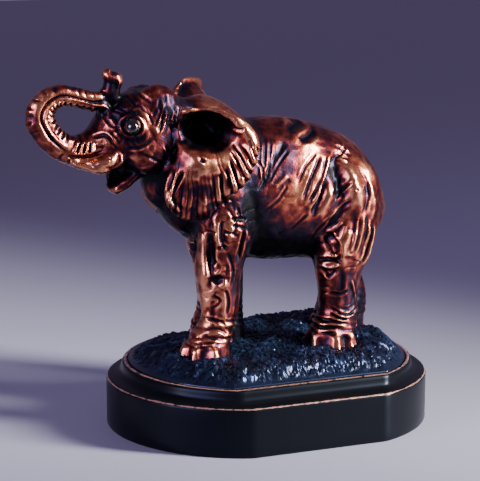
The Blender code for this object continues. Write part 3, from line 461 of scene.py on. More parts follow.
def soften(piece):
    """Eases the left ear's ledge into a dome, the folds behind that ear, and the right ear's front corner."""
    points, _ = skin_of(piece)
    back, height, _ = ear_places(points, -1.0)
    side_view = points[:, [0, 2]]
    dome = ear_dome(back, height) * on_ear(points, -1.0, 6.0)
    folds = patched(side_view, SOFTENED) * (points[:, 1] < 0.0) * (dome < 0.02)
    eased = relax(points, edges_of(piece), 220, 0.6)
    share = np.clip(dome + folds, 0.0, 1.0)
    place_points(piece, points + share[:, None] * (eased - points))
    press(piece, 1.2 * dome * patched(np.column_stack([back, height]), DOME_FILL))
    points, _ = skin_of(piece)
    corner = patched(points[:, [0, 2]], EAR_CORNER) * (points[:, 1] > 30.0)
    place_points(piece, points + corner[:, None] * np.array(CORNER_SHIFT))


def stroke(flat, places, wide):
    """How far flat places lie from a smooth stroke, in half widths, and how it fades toward its ends."""
    line = smooth_line([(*p, 0.0) for p in places], 7 * len(places))[:, :2]
    reach = np.full(len(flat), 1e9)
    along = np.zeros(len(flat))
    for k in range(len(line) - 1):
        run = line[k + 1] - line[k]
        t = np.clip((flat - line[k]) @ run / (run @ run), 0.0, 1.0)
        off = np.linalg.norm(flat - line[k] - t[:, None] * run, axis=1)
        closer = off < reach
        reach[closer] = off[closer]
        along[closer] = (k + t[closer]) / (len(line) - 1)
    fade = ease(along, -0.05, 0.18) * ease(-along, -1.05, -0.82)
    return reach / wide, fade


def carve_strokes(flat, strokes, allowed, strength=1.0):
    """The depth that a list of strokes adds at each flat place: a furrow has a raised lip on each side."""
    amounts = np.zeros(len(flat))
    for wide, deep, places in strokes:
        corners = np.array(places)
        low, high = corners.min(0) - 4.0 * wide, corners.max(0) + 4.0 * wide
        at = np.nonzero(allowed & np.all((flat > low) & (flat < high), axis=1))[0]
        if len(at) == 0:
            continue
        reach, fade = stroke(flat[at], places, 0.85 * wide)
        shape = -np.exp(-(reach ** 2)) + 0.42 * np.exp(-(((reach - 2.0) / 0.85) ** 2))
        amounts[at] += strength * deep * shape * fade
    return amounts


def ear_places(points, side):
    """(back, height, depth out of its plane) of points in the ear's own plane; side is -1 for the left."""
    root_x, root_y, swing, lean, tall, spread, _ = EAR_ROOTS[side]
    from_root = points[:, :2] - np.array([root_x, root_y])
    along = np.array([math.cos(swing), side * math.sin(swing)])
    across = np.array([-math.sin(swing), side * math.cos(swing)])
    raised = points[:, 2] - EAR_CENTRE[1]
    above = raised / np.where(raised > 0.0, tall[1], tall[0])
    leant = np.where(raised > 0.0, lean[1], lean[0]) * above
    return (from_root @ along - leant) / spread, EAR_CENTRE[1] + above, from_root @ across


def ear_bowl(back, height, side):
    """The hollow of the ear: 1 in its middle, falling to 0 at its rim."""
    place, half_wide, middle, half_tall, slope, soft = EAR_BOWLS[side]
    raised = height - middle + slope * (back - place)
    steep = 2.0 - soft * ease(np.maximum(-raised, back - place), 0.0, 6.0)
    return np.exp(-((((back - place) / half_wide) ** 2 + (raised / half_tall) ** 2) ** steep))


def ear_face(back, height, side):
    """A place's reach from the ear's middle (0) to its edge (1), its bearing, and the outer face's depth."""
    outline = smooth_line([(b, h, 0.0) for b, h in EAR_OUTLINE + EAR_OUTLINE[:1]], 240)[:, :2]
    outline = outline - np.array(EAR_CENTRE)
    bearings = np.arctan2(outline[:, 1], outline[:, 0])
    order = np.argsort(bearings)
    bearing = np.arctan2(height - EAR_CENTRE[1], back - EAR_CENTRE[0])
    edge = np.interp(bearing, bearings[order], np.linalg.norm(outline, axis=1)[order], period=2.0 * math.pi)
    reach = np.hypot(back - EAR_CENTRE[0], height - EAR_CENTRE[1]) / edge
    # The face leaves the neck, then has a rim at its rear, a hollow, a bulge below it and a tip turned in.
    depth = 5.0 * ease(back, -1.0, 11.0) + 6.0 * ease(-height, -142.0, -126.0) * ease(-back, -12.0, 4.0)
    depth += 4.0 * ease(np.cos(bearing - 0.62), -0.35, 0.25) * bell(reach, 0.86, 0.15)
    depth -= (13.5 + EAR_ROOTS[side][6]) * ear_bowl(back, height, side)
    depth += 6.5 * np.exp(-(((back - 14.0) / 13.0) ** 2 + ((height - 144.0) / 7.5) ** 2))
    depth -= 3.0 * ease(-height, -124.0, -113.0)
    return reach, bearing, depth


def ear_dome(back, height):
    """How much a place in the ear's plane belongs to the dome below its hollow, from 0 to 1."""
    (place, level), (half_wide, half_tall) = EAR_DOME
    return bell(np.hypot((back - place) / half_wide, (height - level) / half_tall) ** 2, 0.0, 1.0)


def on_ear(points, side, margin=3.2):
    """True for places on the ear on that side, on its outer face or its edge, eased dome and all."""
    back, height, depth = ear_places(points, side)
    reach, _, face = ear_face(back, height, side)
    lowest = face - margin - 6.0 * ear_dome(back, height)
    return (reach < 1.12) & (back > -5.0) & (points[:, 1] * side > 17.0) & (depth > lowest)


def faces_out(normals, side, low, high):
    """How much the surface faces out of the ear's plane on that side, eased between two limits."""
    swing = EAR_ROOTS[side][2]
    return ease(normals @ np.array([-math.sin(swing), side * math.cos(swing), 0.0]), low, high)


def carve_trunk(piece, comb_pitch):
    """The comb of skin folds inside the curl, the long grooves on each side, and the creases outside it."""
    points, _ = skin_of(piece)
    at = np.nonzero((points[:, 0] < -78.0) & (points[:, 2] > 136.0) & (np.abs(points[:, 1]) < 16.0))[0]
    near = points[at]
    line = smooth_line(TRUNK_LINE, 400)
    length = np.concatenate([[0.0], np.cumsum(np.linalg.norm(np.diff(line[:, :3], axis=0), axis=1))])
    best = np.full(len(near), 1e9)
    index = np.zeros(len(near), int)
    for k in range(len(line)):
        off = np.linalg.norm(near - line[k, :3], axis=1)
        closer = off < best
        best[closer] = off[closer]
        index[closer] = k
    along = length[index]
    place = line[index, :3]
    on_trunk = (best < line[index, 3] + 3.0).astype(float)
    inward = unit(np.array(CURL_CENTRE) - place)
    facing = np.einsum("ij,ij->i", unit(near - place), inward)
    wander = lumps(near, 9.0, 3)
    phase = (along + 0.5 * wander) / comb_pitch % 1.0
    comb = (0.35 - 1.15 * bell(phase, 0.5, 0.2)) * ease(facing, 0.28, 0.6) * ease(along, 12.0, 20.0)
    comb *= ease(-along, -82.0, -75.0)
    depth = 0.95 * comb
    for deep, middle, wide, start, end in TRUNK_GROOVES:
        depth += deep * bell(facing, middle, wide) * ease(along, *start) * ease(-along, *end)
    crease = (along + 1.2 * wander) / 3.7 % 1.0
    broken = ease(0.3 * wander + 0.6, 0.4, 0.7)
    depth -= 0.5 * bell(crease, 0.5, 0.13) * ease(-facing, 0.25, 0.5) * broken * ease(-along, -76.0, -68.0)
    for nostril in NOSTRILS:
        depth -= np.exp(-((np.linalg.norm(near - np.array(nostril), axis=1) / 1.4) ** 2))
    amounts = np.zeros(len(points))
    amounts[at] = depth * on_trunk
    press(piece, amounts)


def carve_ears(piece, front_pitch, rear_pitch):
    """The ears' rims and fans of ribs: the left ear's in full, the right ear's plainer."""
    points, normals = skin_of(piece)
    amounts = np.zeros(len(points))
    for side, strength in ((-1.0, 1.0), (1.0, 0.65)):
        back, height, _ = ear_places(points, side)
        reach, bearing, _ = ear_face(back, height, side)
        outer = faces_out(normals, side, -0.1, 0.3)
        spread = np.hypot(back - EAR_CENTRE[0], height - EAR_CENTRE[1])
        turn = np.degrees(bearing)
        fan = np.arctan2(back - RIB_ORIGIN[0], RIB_ORIGIN[1] - height) + 0.014 * lumps(points, 7.0, 11)
        rear = ease(spread, 12.0, 15.5) * ease(turn, -84.0, -66.0) * ease(-height, -152.0, -146.0)
        rank = np.column_stack([REAR_RIB_REACH * fan, np.zeros((len(fan), 2))])
        start = height + 10.0 * lumps(rank, 1.0, 13)
        uneven = 0.75 + 0.4 * lumps(rank, 0.7, 14)
        lobe = ease(-start, -142.0, -114.0) * (1.0 - rear)
        ribs = rear * (0.4 - 1.9 * bell(fan * REAR_RIB_REACH / rear_pitch % 1.0, 0.5, 0.19))
        ribs += lobe * (0.2 - uneven * bell(fan * FRONT_RIB_REACH / front_pitch % 1.0, 0.5, 0.19))
        ribs += 0.25 * (1.0 - rear) * lumps(points, 3.4, 12)
        ribs += carve_strokes(np.column_stack([back, height]), EAR_STROKES, reach < 1.1)
        amounts += np.where(on_ear(points, side), strength * outer * ribs, 0.0)
    press(piece, amounts)


def carve_eyes(piece):
    """A sunk bed for each eyeball, heavy uneven lids, a pouch, and small wrinkles that run out from them."""
    points, _ = skin_of(piece)
    dx = points[:, 0] - EYE[0]
    dz = points[:, 2] - EYE[2]
    around = np.hypot(dx, dz)
    turn = np.arctan2(dz, dx)
    uneven = 0.8 + 0.8 * lumps(points, 3.6, 7)
    upper = ease(dz + 0.3 * dx, -1.5, 2.0)
    bed = -2.2 * np.exp(-((around / 4.0) ** 6))
    lids = upper * (0.95 * bell(around, 5.3, 0.9) - 0.45 * bell(around, 7.0, 0.7))
    lids += (1.0 - upper) * (0.6 * bell(around, 5.2, 0.9) - 0.25 * bell(around, 6.6, 0.8))
    wrinkles = 0.22 * np.cos(15.0 * turn + 3.0 * lumps(points, 4.0, 8)) * bell(around, 8.6, 2.2) * (dx < 3.0)
    head = (np.abs(points[:, 1]) > 8.0) & (points[:, 0] < FACE_REAR) & (around < 14.0)
    press(piece, np.where(head, bed + lids * uneven + wrinkles, 0.0))


def falling(points, lean, wide, long, seed):
    """Noise in long streaks in the side view that fall forward by a lean, in degrees from upright."""
    a = math.radians(lean)
    across = points[:, 0] * math.cos(a) - points[:, 2] * math.sin(a)
    down = points[:, 0] * math.sin(a) + points[:, 2] * math.cos(a)
    turned = np.column_stack([across, points[:, 1], down])
    return lumps(turned, (wide, 9.0, long), seed)


def wrinkle_net(points, size, seed):
    """Thin lines where smooth noise crosses zero, as fine skin wrinkles do."""
    return -np.exp(-((lumps(points, size, seed) / 0.13) ** 2))


def carve_hide(piece, wrinkle_depth):
    """The hide's folds and wrinkles, plainer on the right side, which mirrors the left side's main folds."""
    points, normals = skin_of(piece)
    x, y, z = points.T
    off_ears = ~(on_ear(points, -1.0) | on_ear(points, 1.0))
    side_view = np.column_stack([x, z])
    left = (normals[:, 1] < -0.05) & (y < -2.0) & off_ears
    right = (normals[:, 1] > 0.05) & (y > 2.0) & off_ears
    amounts = np.zeros(len(points))
    for strokes, strength in LEFT_STROKES:
        amounts += carve_strokes(side_view, strokes, left, strength)
    for strokes in (FLANK_STROKES, HEAD_STROKES, LIP_STROKES):
        amounts += carve_strokes(side_view, strokes, right, RIGHT_STRENGTH)
    stride = np.column_stack([x - RIGHT_STRIDE, z])
    for strokes in (HIND_STROKES, FORE_STROKES):
        amounts += carve_strokes(stride, strokes, right & (z < RIGHT_LEG_TOP), RIGHT_STRENGTH)

    body = (x > -50.0).astype(float)
    legs = ease(-z, -100.0, -88.0) * (z > 40.0)
    flank = body * ease(z, 92.0, 104.0) * ease(-z, -152.0, -140.0) * ease(np.abs(normals[:, 1]), 0.15, 0.5)
    quiet = 1.0 - np.clip(patched(side_view, QUIET), 0.0, 1.0)
    patches = quiet * ease(lumps(points, 17.0, 21), -0.35, 0.5)
    amounts += 0.16 * flank * patches * falling(points, -27.0, 2.6, 15.0, 22)
    amounts += 0.1 * flank * (1.0 - patches) * wrinkle_net(points, 7.0, 23)
    upright = lumps(points, (2.7, 2.7, 12.0), 24)
    amounts += 0.3 * quiet * legs * ease(z, 58.0, 66.0) * upright
    creased = ease(lumps(points, 9.0, 25), 0.0, 0.6)
    amounts += 0.26 * quiet * legs * creased * wrinkle_net(points, (6.0, 6.0, 3.4), 26)
    head = ease(-x, 52.0, 60.0) * (z > 120.0)
    trunk = ease(-x, 93.0, 99.0)
    amounts += 0.12 * head * (1.0 - trunk) * wrinkle_net(points, (5.5, 6.0, 7.5), 27)
    amounts += 0.14 * head * lumps(points, (2.2, 3.0, 5.5), 28) * (1.0 - 0.5 * trunk)
    shoulder = body * ease(z, 98.0, 104.0) * ease(-z, -126.0, -116.0) * ease(-x, 14.0, 22.0)
    amounts += 0.3 * shoulder * wrinkle_net(points, (5.0, 6.0, 5.0), 29)
    amounts += 0.05 * lumps(points, 1.7, 30) + 0.1 * lumps(points, 4.2, 31) * (1.0 - ease(z, 148.0, 156.0))

    sway = 2.2 * lumps(points, 9.0, 32) + 0.16 * x
    rings = np.cos(2.0 * math.pi * (z + sway) / 3.3)
    ankle = ease(z, 46.0, 48.5) * ease(-z, -64.0, -56.0) * (x > -60.0)
    ankle = ankle * ease(lumps(points, 6.0, 33), -0.5, 0.4)
    amounts += np.where(x > 8.0, 0.55, 0.34) * ankle * (rings - 0.35 * (rings < -0.4))
    keep_off = ease(np.hypot(x - EYE[0], z - EYE[2]), 7.0, 11.0)
    calm = np.where((x < FACE_REAR) & (z > 150.0), keep_off, 1.0)
    press(piece, wrinkle_depth * amounts * calm * off_ears)


def oval(bearing, inset):
    """The distance from the middle to the plinth's outline at a bearing, for an inset from its edge."""
    share = inset / RIM_INSET
    length = HALF_LENGTH[0] + share * (HALF_LENGTH[1] - HALF_LENGTH[0])
    width = HALF_WIDTH[0] + share * (HALF_WIDTH[1] - HALF_WIDTH[0])
    straight = STRAIGHT_HALF[0] + share * (STRAIGHT_HALF[1] - STRAIGHT_HALF[0])
    middle = (length ** 2 - straight ** 2 - width ** 2) / (2.0 * (length - straight))
    radius = length - middle
    run, rise = np.abs(np.cos(bearing)), np.abs(np.sin(bearing))
    round_end = middle * run + np.sqrt(np.maximum(radius ** 2 - (middle * rise) ** 2, 0.0))
    return np.where(rise * straight > run * width, width / np.maximum(rise, 1e-6), round_end)


def ground_height(x, y):
    """The earth's height: a level top with low rolls in it, falling away to the edge."""
    share = np.hypot(x, y) / oval(np.arctan2(y, x), GROUND_INSET)
    level = ease((1.0 - share) * HALF_WIDTH[1] / SLOPE_WIDTH, 0.0, 1.0) ** 0.75
    rolls = 0.7 * np.sin(x * 0.13 + 0.6) * np.cos(y * 0.16 - 0.4) + 0.5 * np.sin(x * 0.21 - y * 0.17)
    rise = 0.1 * (x - 14.0) * ease(y, 5.0, 35.0)
    return GROUND_EDGE + level * (PLATEAU - GROUND_EDGE + rolls + rise)


def select_only(piece):
    bpy.ops.object.select_all(action="DESELECT")
    piece.select_set(True)
    bpy.context.view_layer.objects.active = piece


def shape_with(piece, kind, **settings):
    """Adds a modifier with its settings and applies it."""
    select_only(piece)
    modifier = piece.modifiers.new(kind.title(), kind)
    for name, value in settings.items():
        setattr(modifier, name, value)
    bpy.ops.object.modifier_apply(modifier=modifier.name)


def named_primitive(name):
    piece = bpy.context.active_object
    piece.name = name
    piece.data.name = name
    bpy.ops.object.transform_apply(location=True, rotation=True, scale=True)
    return piece


def smoothed(piece):
    """The piece, with its surface shaded smooth."""
    select_only(piece)
    bpy.ops.object.shade_smooth()
    return piece


def oval_grid(name, cells, edge_inset):
    """A square grid drawn out to the ground's oval, so that its cells stay near to square."""
    bpy.ops.object.select_all(action="DESELECT")
    bpy.ops.mesh.primitive_grid_add(x_subdivisions=cells, y_subdivisions=cells, size=2.0)
    piece = named_primitive(name)
    points = np.empty(len(piece.data.vertices) * 3)
    piece.data.vertices.foreach_get("co", points)
    u, v, _ = points.reshape(-1, 3).T
    wide = np.abs(u) >= np.abs(v)
    reach = np.maximum(np.abs(u), np.abs(v))
    share = np.where(wide, v, u) / np.maximum(reach, 1e-9)
    turn = share * math.pi / 4.0
    ends = np.where(u < 0, math.pi - turn, turn)
    sides = np.where(v < 0, turn - math.pi / 2.0, math.pi / 2.0 - turn)
    turn = np.where(wide, ends, sides)
    far = reach * oval(turn, edge_inset)
    place_points(piece, np.column_stack([far * np.cos(turn), far * np.sin(turn), np.zeros(len(far))]))
    return piece


def close_below(piece, level):
    """Draws a sheet's edge straight down to a level and closes the underside."""
    select_only(piece)
    bpy.ops.object.mode_set(mode="EDIT")
    bpy.ops.mesh.select_mode(type="EDGE")
    bpy.ops.mesh.select_all(action="DESELECT")
    bpy.ops.mesh.select_non_manifold()
    bpy.ops.mesh.extrude_edges_move()
    work = bmesh.from_edit_mesh(piece.data)
    for corner in work.verts:
        if corner.select:
            corner.co.z = level * MM
    bmesh.update_edit_mesh(piece.data)
    bpy.ops.mesh.edge_face_add()
    bpy.ops.mesh.select_all(action="SELECT")
    bpy.ops.mesh.normals_make_consistent(inside=False)
    bpy.ops.object.mode_set(mode="OBJECT")


def casting_copy(name):
    """The casting's solid as one joined mesh without its materials."""
    bpy.ops.object.select_all(action="DESELECT")
    piece = bpy.data.objects.new(name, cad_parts["elephant"].data.copy())
    bpy.context.scene.collection.objects.link(piece)
    piece.data.materials.clear()
    select_only(piece)
    bpy.ops.object.mode_set(mode="EDIT")
    bpy.ops.mesh.select_all(action="SELECT")
    bpy.ops.mesh.remove_doubles(threshold=0.002 * MM)
    bpy.ops.object.mode_set(mode="OBJECT")
    return piece


def cut_from_earth(piece, above, sunk):
    """Cuts the figure out of its earth a little above the ground, then draws its feet down into it."""
    cutter = oval_grid("earth_cutter", 70, GROUND_INSET - 4.0)
    points, _ = skin_of(cutter)
    points[:, 2] = ground_height(points[:, 0], points[:, 1]) + above
    place_points(cutter, points)
    close_below(cutter, SEAT - 8.0)
    shape_with(piece, "BOOLEAN", object=cutter, operation="DIFFERENCE", solver="EXACT")
    bpy.data.objects.remove(cutter)
    points, normals = skin_of(piece)
    low = points[:, 2] < ground_height(points[:, 0], points[:, 1]) + above + 0.35
    points[low, 2] -= sunk
    place_points(piece, points)


def keep_largest(piece):
    """Drops loose crumbs: everything not joined to the largest island of the mesh."""
    ends = edges_of(piece)
    count = len(piece.data.vertices)
    label = np.arange(count)
    while True:
        lowest = np.minimum(label[ends[:, 0]], label[ends[:, 1]])
        fresh = label.copy()
        np.minimum.at(fresh, ends[:, 0], lowest)
        np.minimum.at(fresh, ends[:, 1], lowest)
        fresh = fresh[fresh]
        if np.array_equal(fresh, label):
            break
        label = fresh
    loose = np.nonzero(label != np.bincount(label, minlength=count).argmax())[0]
    if len(loose) > 0:
        work = bmesh.new()
        work.from_mesh(piece.data)
        work.verts.ensure_lookup_table()
        bmesh.ops.delete(work, geom=[work.verts[index] for index in loose.tolist()], context="VERTS")
        work.to_mesh(piece.data)
        work.free()


def keep_values(piece, name, values):
    """Stores one number for each point, which a material reads by name."""
    layer = piece.data.attributes.new(name, "FLOAT", "POINT")
    layer.data.foreach_set("value", values.astype(np.float32))


def patched(flat, patches):
    """The sum of soft oval patches at flat places."""
    total = np.zeros(len(flat))
    for place, half, change in patches:
        total += change * np.exp(-(((flat - np.array(place)) / np.array(half)) ** 2).sum(1))
    return total


def openness(piece, reach):
    """How much of the open air each face of the casting's solid sees, carried over to this piece's points."""
    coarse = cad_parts["elephant"].data
    corners = np.empty(len(coarse.vertices) * 3)
    coarse.vertices.foreach_get("co", corners)
    corners = corners.reshape(-1, 3)
    faces = np.empty(len(coarse.loops), np.int64)
    coarse.loops.foreach_get("vertex_index", faces)
    faces = faces.reshape(-1, 3)
    tree = BVHTree.FromPolygons(corners.tolist(), faces.tolist())
    middles = corners[faces].mean(1)
    first, second, third = (corners[faces[:, k]] for k in range(3))
    sides = unit(np.cross(second - first, third - first))
    k = np.arange(SKY_RAYS) + 0.5
    up = 1.0 - 2.0 * k / SKY_RAYS
    turn = math.pi * (1.0 + math.sqrt(5.0)) * k
    rays = np.column_stack([np.cos(turn) * np.sqrt(1.0 - up ** 2), np.sin(turn) * np.sqrt(1.0 - up ** 2), up])
    seen = np.zeros(len(middles))
    for index, (middle, side) in enumerate(zip(middles, sides)):
        start = middle + side * 0.6 * MM
        total = 0.0
        for ray in rays:
            slant = float(ray @ side)
            if slant <= 0.05:
                continue
            total += slant
            if tree.ray_cast(start, ray, reach * MM)[0] is None:
                seen[index] += slant
        seen[index] /= max(total, 1e-6)
    points, _ = skin_of(piece)
    finder = KDTree(len(middles))
    for index, middle in enumerate(middles):
        finder.insert(middle, index)
    finder.balance()
    nearest = np.array([finder.find(p)[1] for p in (points * MM).tolist()])
    return relax(seen[nearest], edges_of(piece), 14)


def wear_hide(piece):
    """How far the patina is rubbed down to copper on what stands proud, with painted shade where less open
    air is seen, on what faces down and along the top, and painted highlights and shade in listed ovals.
    """
    points, normals = skin_of(piece)
    ends = edges_of(piece)
    proud = np.zeros(len(points))
    smooth = points
    done = 0
    for rounds, scale, weight in ((3, 0.11, 0.22), (14, 0.42, 0.5), (70, 1.3, 0.5)):
        smooth = relax(smooth, ends, rounds - done, 0.6)
        done = rounds
        proud += weight * np.tanh(np.einsum("ij,ij->i", points - smooth, normals) / scale)
    sky = openness(piece, SKY_REACH)
    x, y, z = points.T
    # Proud places are worn bright; places that see less open air are darker, patina kept in shelter and
    # painted shade.
    rubbed = 0.54 + 0.6 * proud + 0.8 * (sky - 0.85)
    # Painted shade on what faces down, along the top of back and head, and between the legs, where patina
    # also lies; patina round the eyes.
    rubbed -= 0.3 * ease(-normals[:, 2], 0.1, 0.7)
    rubbed -= 0.16 * ease(normals[:, 2], 0.45, 0.9) * ease(z, 120.0, 150.0)
    rubbed += 0.05 * lumps(points, 9.0, 41)
    rubbed -= 0.35 * ease(-normals[:, 1] * np.sign(y), 0.0, 0.5) * (z < 100.0)
    eye = np.hypot(x - EYE[0], z - EYE[2])
    rubbed -= 0.7 * bell(eye, 0.0, 7.6) * (np.abs(y) > 8.0) * (x < FACE_REAR)
    stride = np.where(y > 2.0, RIGHT_STRIDE * ease(-z, -122.0, -104.0), 0.0)
    # The listed ovals add painted highlights and painted shade, laid with wear and patina.
    patina = patched(np.column_stack([x - stride, z]), PATINA_AND_PAINTED_LIGHT)
    # On the ears their own ovals: painted highlights on rims and dome, painted shade over patina in the
    # hollows.
    for side in (-1.0, 1.0):
        back, height, _ = ear_places(points, side)
        outer = faces_out(normals, side, -0.3, 0.1)
        change = patched(np.column_stack([back, height]), EAR_PATINA_AND_PAINTED_LIGHT)
        patina = np.where(on_ear(points, side, 5.0), change * outer, patina)
    # The stored value holds wear and patina, and painted highlights and painted shade.
    keep_values(piece, "rubbed", np.clip(rubbed + patina, 0.0, 1.0))


def carved_hide(sizes):
    """The elephant's carved skin, from the casting's own form."""
    piece = casting_copy("elephant_hide")
    cut_from_earth(piece, CUT_ABOVE_GROUND, FEET_SUNK)
    shape_with(piece, "REMESH", mode="VOXEL", voxel_size=sizes.carving_grain)
    keep_largest(piece)
    even_out(piece, 26)
    soften(piece)
    carve_trunk(piece, sizes.comb_pitch / MM)
    carve_ears(piece, sizes.rib_pitch / MM, REAR_RIB_SHARE * sizes.rib_pitch / MM)
    carve_eyes(piece)
    carve_hide(piece, sizes.wrinkle_depth)
    place_points(piece, relax(skin_of(piece)[0], edges_of(piece), 1, 0.25))
    faces = 2 * len(piece.data.polygons)
    shape_with(piece, "DECIMATE", ratio=min(1.0, SKIN_FACES / faces), use_collapse_triangulate=True)
    wear_hide(piece)
    return smoothed(piece)


def glossy_eye(name, side, radius):
    """An eyeball: a ball sunk in the head with its clear front raised and its hidden back cut away."""
    bpy.ops.object.select_all(action="DESELECT")
    place = [EYE[0] * MM, side * EYE[1] * MM, EYE[2] * MM]
    bpy.ops.mesh.primitive_uv_sphere_add(segments=48, ring_count=24, radius=radius, location=place)
    piece = named_primitive(name)
    outward = unit(np.array(EYE_WAY) * (1.0, side, 1.0))
    bpy.ops.object.mode_set(mode="EDIT")
    bpy.ops.mesh.select_all(action="SELECT")
    cut = [p - EYE_CUT * radius * o for p, o in zip(place, outward)]
    bpy.ops.mesh.bisect(plane_co=cut, plane_no=outward, use_fill=True, clear_inner=True)
    bpy.ops.object.mode_set(mode="OBJECT")
    points, _ = skin_of(piece)
    off = points - np.array(place) / MM
    front = off @ outward
    rise = CORNEA_RISE * ease(front, CORNEA_START * radius / MM, radius / MM)
    place_points(piece, points + outward * rise[:, None])
    return smoothed(piece)


def chips(x, y, size, seed, stretch=1.0):
    """Heights of broken earth: small leaning flats, one to each cell of a scattered net."""
    turned = np.column_stack([(0.94 * x - 0.34 * y) / size, (0.94 * y + 0.34 * x) / size * stretch])
    cell = np.floor(turned).astype(np.int64)
    best = np.full(len(x), 1e9)
    height = np.zeros(len(x))
    for ox in (-1, 0, 1):
        for oy in (-1, 0, 1):
            spot = cell + np.array([ox, oy])
            mixed = cell_numbers(spot, seed)
            draws = []
            for _ in range(5):
                mixed = scrambled(mixed)
                draws.append((mixed & 0xFFFF) / 65535.0)
            off = turned - spot - np.column_stack([draws[0], draws[1]])
            gone = (off ** 2).sum(1)
            closer = gone < best
            best[closer] = gone[closer]
            lean = off[:, 0] * (2.0 * draws[2] - 1.0) + off[:, 1] * (2.0 * draws[3] - 1.0)
            height[closer] = (draws[4] - 0.5 + 1.5 * lean)[closer]
    return height


def broken_earth(sizes):
    """The black earth that the feet stand in: a low mound of chipped soil, smooth at its edge."""
    piece = oval_grid("rough_earth", sizes.earth_cells, GROUND_INSET)
    points, _ = skin_of(piece)
    x, y, _ = points.T
    share = np.hypot(x, y) / oval(np.arctan2(y, x), GROUND_INSET)
    inset = (1.0 - share) * HALF_WIDTH[1]
    rough = ease(inset, 1.0, 3.4)
    wander = 0.8 * lumps(points, 5.0, 53)
    relief = 0.65 * chips(x + wander, y, 3.4, 51, 1.7) + 0.45 * chips(x, y + wander, 1.9, 52, 1.6)
    relief += 0.5 * lumps(points, 7.0, 54) * ease(inset, 2.0, 6.0)
    depth = sizes.chip_height / MM
    points[:, 2] = ground_height(x, y) + depth * rough * relief
    place_points(piece, points)
    # How far each chip stands out; the material paints the raised chips lighter blue, a painted cold
    # highlight.
    keep_values(piece, "proud", np.clip(0.5 + 0.5 * relief * rough, 0.0, 1.0))
    close_below(piece, SEAT)
    return smoothed(piece)


def moulded_plinth(sides):
    """The plinth: its oval is drawn as a ring and raised edge by edge up the moulding's profile."""
    bpy.ops.object.select_all(action="DESELECT")
    bpy.ops.mesh.primitive_circle_add(vertices=sides, radius=HALF_LENGTH[0] * MM)
    piece = named_primitive("moulded_plinth")
    bpy.ops.object.mode_set(mode="EDIT")
    bpy.ops.mesh.select_all(action="SELECT")
    for row, (inset, height) in enumerate(PLINTH_PROFILE):
        if row > 0:
            bpy.ops.mesh.extrude_edges_move()
        work = bmesh.from_edit_mesh(piece.data)
        for corner in work.verts:
            if corner.select:
                bearing = math.atan2(corner.co.y, corner.co.x)
                far = float(oval(bearing, inset)) * MM
                corner.co = (far * math.cos(bearing), far * math.sin(bearing), height * MM)
        bmesh.update_edit_mesh(piece.data)
    bpy.ops.mesh.edge_face_add()
    bpy.ops.mesh.select_all(action="DESELECT")
    bpy.ops.mesh.select_non_manifold()
    bpy.ops.mesh.edge_face_add()
    bpy.ops.mesh.select_all(action="SELECT")
    bpy.ops.mesh.normals_make_consistent(inside=False)
    bpy.ops.object.mode_set(mode="OBJECT")
    level = skin_of(piece)[0][:, 2]
    edge = sum(bell(level, height, wide) for height, wide in RUBBED_EDGES)
    keep_values(piece, "edge", np.clip(edge, 0.0, 1.0))
    select_only(piece)
    bpy.ops.object.shade_smooth_by_angle(angle=math.radians(50.0))
    return piece


def new_material(name):
    """An empty material and its tree of nodes."""
    made = bpy.data.materials.new(name)
    made.use_nodes = True
    made.node_tree.nodes.clear()
    return made, made.node_tree


def add_node(tree, kind, settings=None, links=None):
    """Adds a node, sets its properties or inputs by name or number, and links sources to its inputs."""
    made = tree.nodes.new(kind)
    for name, value in (settings or {}).items():
        if isinstance(name, str) and hasattr(made, name):
            setattr(made, name, value)
        else:
            made.inputs[name].default_value = value
    for name, source in (links or {}).items():
        tree.links.new(source, made.inputs[name])
    return made


def stored(tree, name):
    """The number that keep_values gave each point under this name."""
    return add_node(tree, "ShaderNodeAttribute", {"attribute_name": name}).outputs["Fac"]


def noise(tree, scale, detail, rough=0.5):
    """Noise that keeps still on the piece, in blotches about 1 / scale metres wide."""
    where = add_node(tree, "ShaderNodeTexCoord")
    return add_node(tree, "ShaderNodeTexNoise", {"Scale": scale, "Detail": detail, "Roughness": rough},
                    {"Vector": where.outputs["Object"]}).outputs["Fac"]


def combined(tree, operation, source, *values, clamp=False):
    """A math node's result over a source and the sources or plain numbers that follow it."""
    made = add_node(tree, "ShaderNodeMath", {"operation": operation, "use_clamp": clamp}, {0: source})
    for index, value in enumerate(values, 1):
        if isinstance(value, float):
            made.inputs[index].default_value = value
        else:
            tree.links.new(value, made.inputs[index])
    return made.outputs[0]


def ramp(tree, source, steps):
    """A colour ramp's result. Each step is a place with a hex colour, or with a level of grey."""
    made = add_node(tree, "ShaderNodeValToRGB", {}, {"Fac": source})
    stops = made.color_ramp.elements
    while len(stops) > 1:
        stops.remove(stops[-1])
    for index, (place, look) in enumerate(steps):
        stop = stops[0] if index == 0 else stops.new(place)
        stop.position = place
        stop.color = (*linear(look), 1.0) if isinstance(look, str) else (look, look, look, 1.0)
    return made.outputs["Color"]


def surfaced(tree, settings, links=None):
    """Ends a material's tree in one principled surface."""
    surface = add_node(tree, "ShaderNodeBsdfPrincipled", settings, links)
    add_node(tree, "ShaderNodeOutputMaterial", {}, {"Surface": surface.outputs["BSDF"]})


